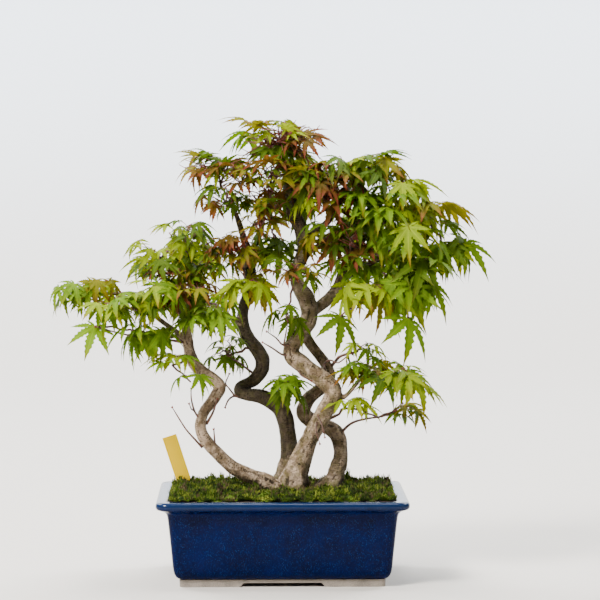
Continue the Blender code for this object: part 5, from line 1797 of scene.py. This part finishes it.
@dataclass
class Ground:
    """The moss over the soil: a lumpy carpet and thousands of small sprigs.

    A chance draw lies in each Span that is named a range.
    """

    spacing: float = 2.2
    inset: float = 0.2
    lump: float = 1.5
    lump_size: float = 7.5
    bump: float = 0.6
    bump_size: float = 2.8
    tuft_size: float = 11.0
    tuft_from: float = 0.08
    tuft_lift: float = 13.0
    sprigs: int = 15000
    sprig_range: Span = (2.0, 5.0)
    long_share: float = 0.08
    long_gain: float = 1.9
    blade_half: float = 0.45
    blade_foot: float = 0.6
    blade_middle: float = 0.55
    blade_lean: float = 0.28
    blade_reach_range: Span = (0.4, 0.9)
    lean_most: float = 5.0
    patch_size: float = 16.0
    patch_range: Span = (-0.35, 0.35)
    patch_edge: float = 0.30
    litter: Span = (24.0, 2.0)
    litter_reach: float = 44.0
    litter_edge: float = 0.15
    tall_tufts: tuple[Span, ...] = ((131.0, 62.0), (137.0, 48.0), (-58.0, 70.0), (96.0, 74.0))
    tall_sprigs: int = 45
    tall_spread: float = 3.0
    tall_rise: float = 9.0
    tall_width: float = 4.0
    top: BVHTree = field(init=False)

    def __post_init__(self) -> None:
        """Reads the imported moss, which the carpet lies on."""
        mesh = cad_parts["moss"].data
        faces = [tuple(face.vertices) for face in mesh.polygons]
        self.top = BVHTree.FromPolygons([vertex.co for vertex in mesh.vertices], faces)

    def build(self) -> list[bpy.types.Object]:
        """Builds the carpet and the sprigs in three colours.

        Returns:
            The pieces.
        """
        pieces = [self._carpet(MossTint.GREEN.value)]
        batches = {tint: MeshBatch() for tint in MossTint}
        rng = random.Random(SEED + 1)
        self._cover(batches, rng)
        self._tall_tufts(batches, rng)
        for tint, batch in batches.items():
            pieces.append(batch.piece(tint.value.name + "_sprigs", tint.value.make()))
        for piece in pieces:
            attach(piece, "root")
            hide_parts("moss")
        return pieces

    def _cover(self, batches: dict[MossTint, MeshBatch], rng: random.Random) -> None:
        """Strews sprigs over the whole carpet.

        Args:
            batches: The mesh of each colour.
            rng: The seeded source of chance.
        """
        low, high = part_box("moss")
        for _ in range(self.sprigs):
            spot = Vector((rng.uniform(low.x, high.x) / MM, rng.uniform(low.y, high.y) / MM, 0.0))
            height = self._height(spot.x, spot.y)
            if height is not None:
                self._sprig(batches[self._tint_at(spot, rng)], Vector((spot.x, spot.y, height)), rng)

    def _tint_at(self, spot: Vector, rng: random.Random) -> MossTint:
        """Picks a sprig's colour by patches, with brown litter round the trunks' foot.

        Args:
            spot: The place, in millimetres.
            rng: The seeded source of chance.

        Returns:
            The colour.
        """
        patch = noise.noise(Vector((spot.x / self.patch_size, spot.y / self.patch_size, 5.0)))
        patch += rng.uniform(*self.patch_range)
        in_litter = math.hypot(spot.x - self.litter[0], spot.y - self.litter[1]) < self.litter_reach
        if in_litter and patch < self.litter_edge or patch < -self.patch_edge:
            return MossTint.BROWN
        return MossTint.YELLOW if patch > self.patch_edge else MossTint.GREEN

    def _tall_tufts(self, batches: dict[MossTint, MeshBatch], rng: random.Random) -> None:
        """Adds the tufts that stand over the carpet.

        Args:
            batches: The mesh of each colour.
            rng: The seeded source of chance.
        """
        for x, y in self.tall_tufts:
            for _ in range(self.tall_sprigs):
                spot = Vector((x + rng.gauss(0, self.tall_spread), y + rng.gauss(0, self.tall_spread), 0.0))
                height = self._height(spot.x, spot.y)
                if height is not None:
                    fall = math.exp(-((spot.x - x) / self.tall_width) ** 2)
                    rise = rng.uniform(0.0, self.tall_rise) * fall
                    tint = rng.choice((MossTint.GREEN, MossTint.GREEN, MossTint.YELLOW))
                    self._sprig(batches[tint], Vector((spot.x, spot.y, height)), rng, rise)

    def _height(self, x: float, y: float) -> float | None:
        """The carpet's height at a place, or None past its edge.

        Args:
            x: The place, in millimetres.
            y: The place, in millimetres.

        Returns:
            The height in millimetres.
        """
        hit = self.top.ray_cast(Vector((x * MM, y * MM, 1.0)), Vector((0, 0, -1)))[0]
        if hit is None:
            return None
        lumps = noise.noise(Vector((x / self.lump_size, y / self.lump_size, 1.0)))
        lumps += self.bump * noise.noise(Vector((x / self.bump_size, y / self.bump_size, 3.0)))
        tuft = max(0.0, noise.noise(Vector((x / self.tuft_size, y / self.tuft_size, 9.0))) - self.tuft_from)
        return hit.z / MM + self.lump * lumps + self.tuft_lift * tuft

    def _carpet(self, finish: Moss) -> bpy.types.Object:
        """The carpet's skin over a grid.

        Args:
            finish: Its moss.

        Returns:
            The piece.
        """
        low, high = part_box("moss")
        xs = np.arange(low.x / MM + self.inset, high.x / MM, self.spacing)
        ys = np.arange(low.y / MM + self.inset, high.y / MM, self.spacing)
        index, points, faces = {}, [], []
        for i, x in enumerate(xs):
            for j, y in enumerate(ys):
                height = self._height(x, y)
                if height is not None:
                    index[i, j] = len(points)
                    points.append((x, y, height))
        for i, j in list(index):
            corners = [index.get(key) for key in ((i, j), (i + 1, j), (i + 1, j + 1), (i, j + 1))]
            if None not in corners:
                a, b, c, d = corners
                faces += [(a, b, c), (a, c, d)]
        batch = MeshBatch()
        batch.add(np.array(points), np.array(faces))
        return batch.piece("moss_carpet", finish.make())

    def _sprig(self, batch: MeshBatch, foot: Vector, rng: random.Random, rise: float = 0.0) -> None:
        """Adds one sprig of three pointed blades.

        Args:
            batch: The mesh being gathered.
            foot: Where it stands.
            rng: The seeded source of chance.
            rise: Extra height.
        """
        length = rng.uniform(*self.sprig_range)
        height = rise + length * (self.long_gain if rng.random() < self.long_share else 1.0)
        lean = min(height, self.lean_most)
        points, faces = [], []
        first = rng.uniform(0, 360)
        for k in range(3):
            out = level_way(math.radians(first + 120 * k))
            side = Vector((-out.y, out.x, 0.0)) * self.blade_half
            mid = foot + out * lean * self.blade_lean + Vector((0, 0, height * self.blade_middle))
            tip = foot + out * lean * rng.uniform(*self.blade_reach_range) + Vector((0, 0, height))
            base = len(points)
            narrow = side * self.blade_foot
            points += [foot - narrow, foot + narrow, mid - side, mid + side, tip]
            faces += [(base, base + 1, base + 3), (base, base + 3, base + 2), (base + 2, base + 3, base + 4)]
        batch.add(np.array([tuple(p) for p in points]), np.array(faces))


@dataclass(frozen=True)
class Softbox:
    """A square soft light: its place, side, power in watts, colour and what it faces."""

    name: str
    spot: Triple
    size: float
    power: float
    colour: Colour
    target: Triple = (0.0, 0.0, 0.3)

    def hang(self) -> None:
        """Puts the light in the scene."""
        data = bpy.data.lights.new(self.name, "AREA")
        data.size = self.size
        data.energy = self.power
        data.color = self.colour
        lamp = bpy.data.objects.new(self.name, data)
        lamp.location = self.spot
        lamp.rotation_mode = "QUATERNION"
        lamp.rotation_quaternion = (Vector(self.target) - Vector(self.spot)).to_track_quat("-Z", "Y")
        bpy.context.scene.collection.objects.link(lamp)


@dataclass
class Studio:
    """The plain paper sweep, soft lights and camera, in metres and degrees; the lens is in millimetres."""

    eye: Triple = (-0.0233, -3.0525, 0.5078)
    lens: float = 151.7
    sensor: float = 36.0
    far: float = 50.0
    yaw: float = 1.133
    pitch: float = 3.214
    floor_front: float = -4.0
    floor_back: float = 2.4
    bend: float = 1.2
    bend_steps: int = 16
    half_width: float = 5.0
    wall: float = 4.0
    air: float = 0.15
    air_colour: Colour = (0.80, 0.86, 0.95)
    lights: tuple[Softbox, ...] = (
        Softbox("key", (-1.5, -1.7, 2.4), 0.9, 262.0, (1.0, 0.98, 0.95)),
        Softbox("fill", (2.6, -2.2, 1.2), 1.6, 12.0, (0.95, 0.97, 1.0)),
        Softbox("top", (0.1, 0.2, 2.4), 1.0, 80.0, (1.0, 1.0, 1.0)),
        Softbox("paper_left", (-2.4, 1.8, 3.0), 1.5, 300.0, (0.95, 0.98, 1.0), (-0.6, 3.3, 1.1)),
        Softbox("paper_right", (2.4, 1.8, 3.0), 1.5, 300.0, (0.95, 0.98, 1.0), (0.6, 3.3, 1.1)))

    def build(self) -> None:
        """Builds the sweep, the camera, the lights and the air's faint light."""
        self._sweep()
        self._camera()
        for light in self.lights:
            light.hang()
        world = bpy.data.worlds.new("studio_air")
        world.use_nodes = True
        air = world.node_tree.nodes["Background"]
        air.inputs[0].default_value = (*self.air_colour, 1.0)
        air.inputs[1].default_value = self.air
        bpy.context.scene.world = world

    def _sweep(self) -> None:
        """A floor that curves up into a wall behind the plant."""
        profile = [(self.floor_front, 0.0), (self.floor_back, 0.0)]
        for k in range(1, self.bend_steps + 1):
            angle = math.radians(90 * k / self.bend_steps)
            profile.append((self.floor_back + self.bend * math.sin(angle), self.bend * (1 - math.cos(angle))))
        profile.append((self.floor_back + self.bend, self.wall))
        points = np.array([(x, y, z) for y, z in profile for x in (-self.half_width, self.half_width)]) / MM
        faces = []
        for a in range(0, 2 * (len(profile) - 1), 2):
            faces += [(a, a + 1, a + 3), (a, a + 3, a + 2)]
        batch = MeshBatch()
        batch.add(points, np.array(faces))
        batch.piece("paper_sweep", StudioPaper().make())

    def _camera(self) -> None:
        """The camera: a long lens at the crown's height, tilted down a little."""
        data = bpy.data.cameras.new("camera")
        data.lens = self.lens
        data.sensor_width = self.sensor
        data.clip_end = self.far
        camera = bpy.data.objects.new("camera", data)
        camera.location = self.eye
        camera.rotation_euler = (math.radians(90 - self.pitch), 0.0, math.radians(-self.yaw))
        bpy.context.scene.collection.objects.link(camera)
        bpy.context.scene.camera = camera


def dress_packed(name: str, finish: bpy.types.Material) -> None:
    """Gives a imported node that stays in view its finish.

    Args:
        name: The node's name.
        finish: Its material.
    """
    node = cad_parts[name]
    node.data.materials.clear()
    node.data.materials.append(finish)
    log.info("%s dressed in %s", name, finish.name)


def main() -> None:
    """Builds every sub-assembly in order."""
    logging.basicConfig(level=logging.INFO, format="%(name)s: %(message)s")
    Studio().build()
    pot = Pot().build()
    log.info("%s: %d faces", pot.name, len(pot.data.polygons))
    dress_packed("pot_foot", BareClay().make())
    dress_packed("soil", Earth().make())
    dress_packed("plant_label", LabelPlastic().make())
    wood = Wood().build()
    log.info("%s: %d faces", wood.name, len(wood.data.polygons))
    for piece in Ground().build() + Crown().build():
        log.info("%s: %d faces", piece.name, len(piece.data.polygons))


if __name__ == "__main__":
    main()
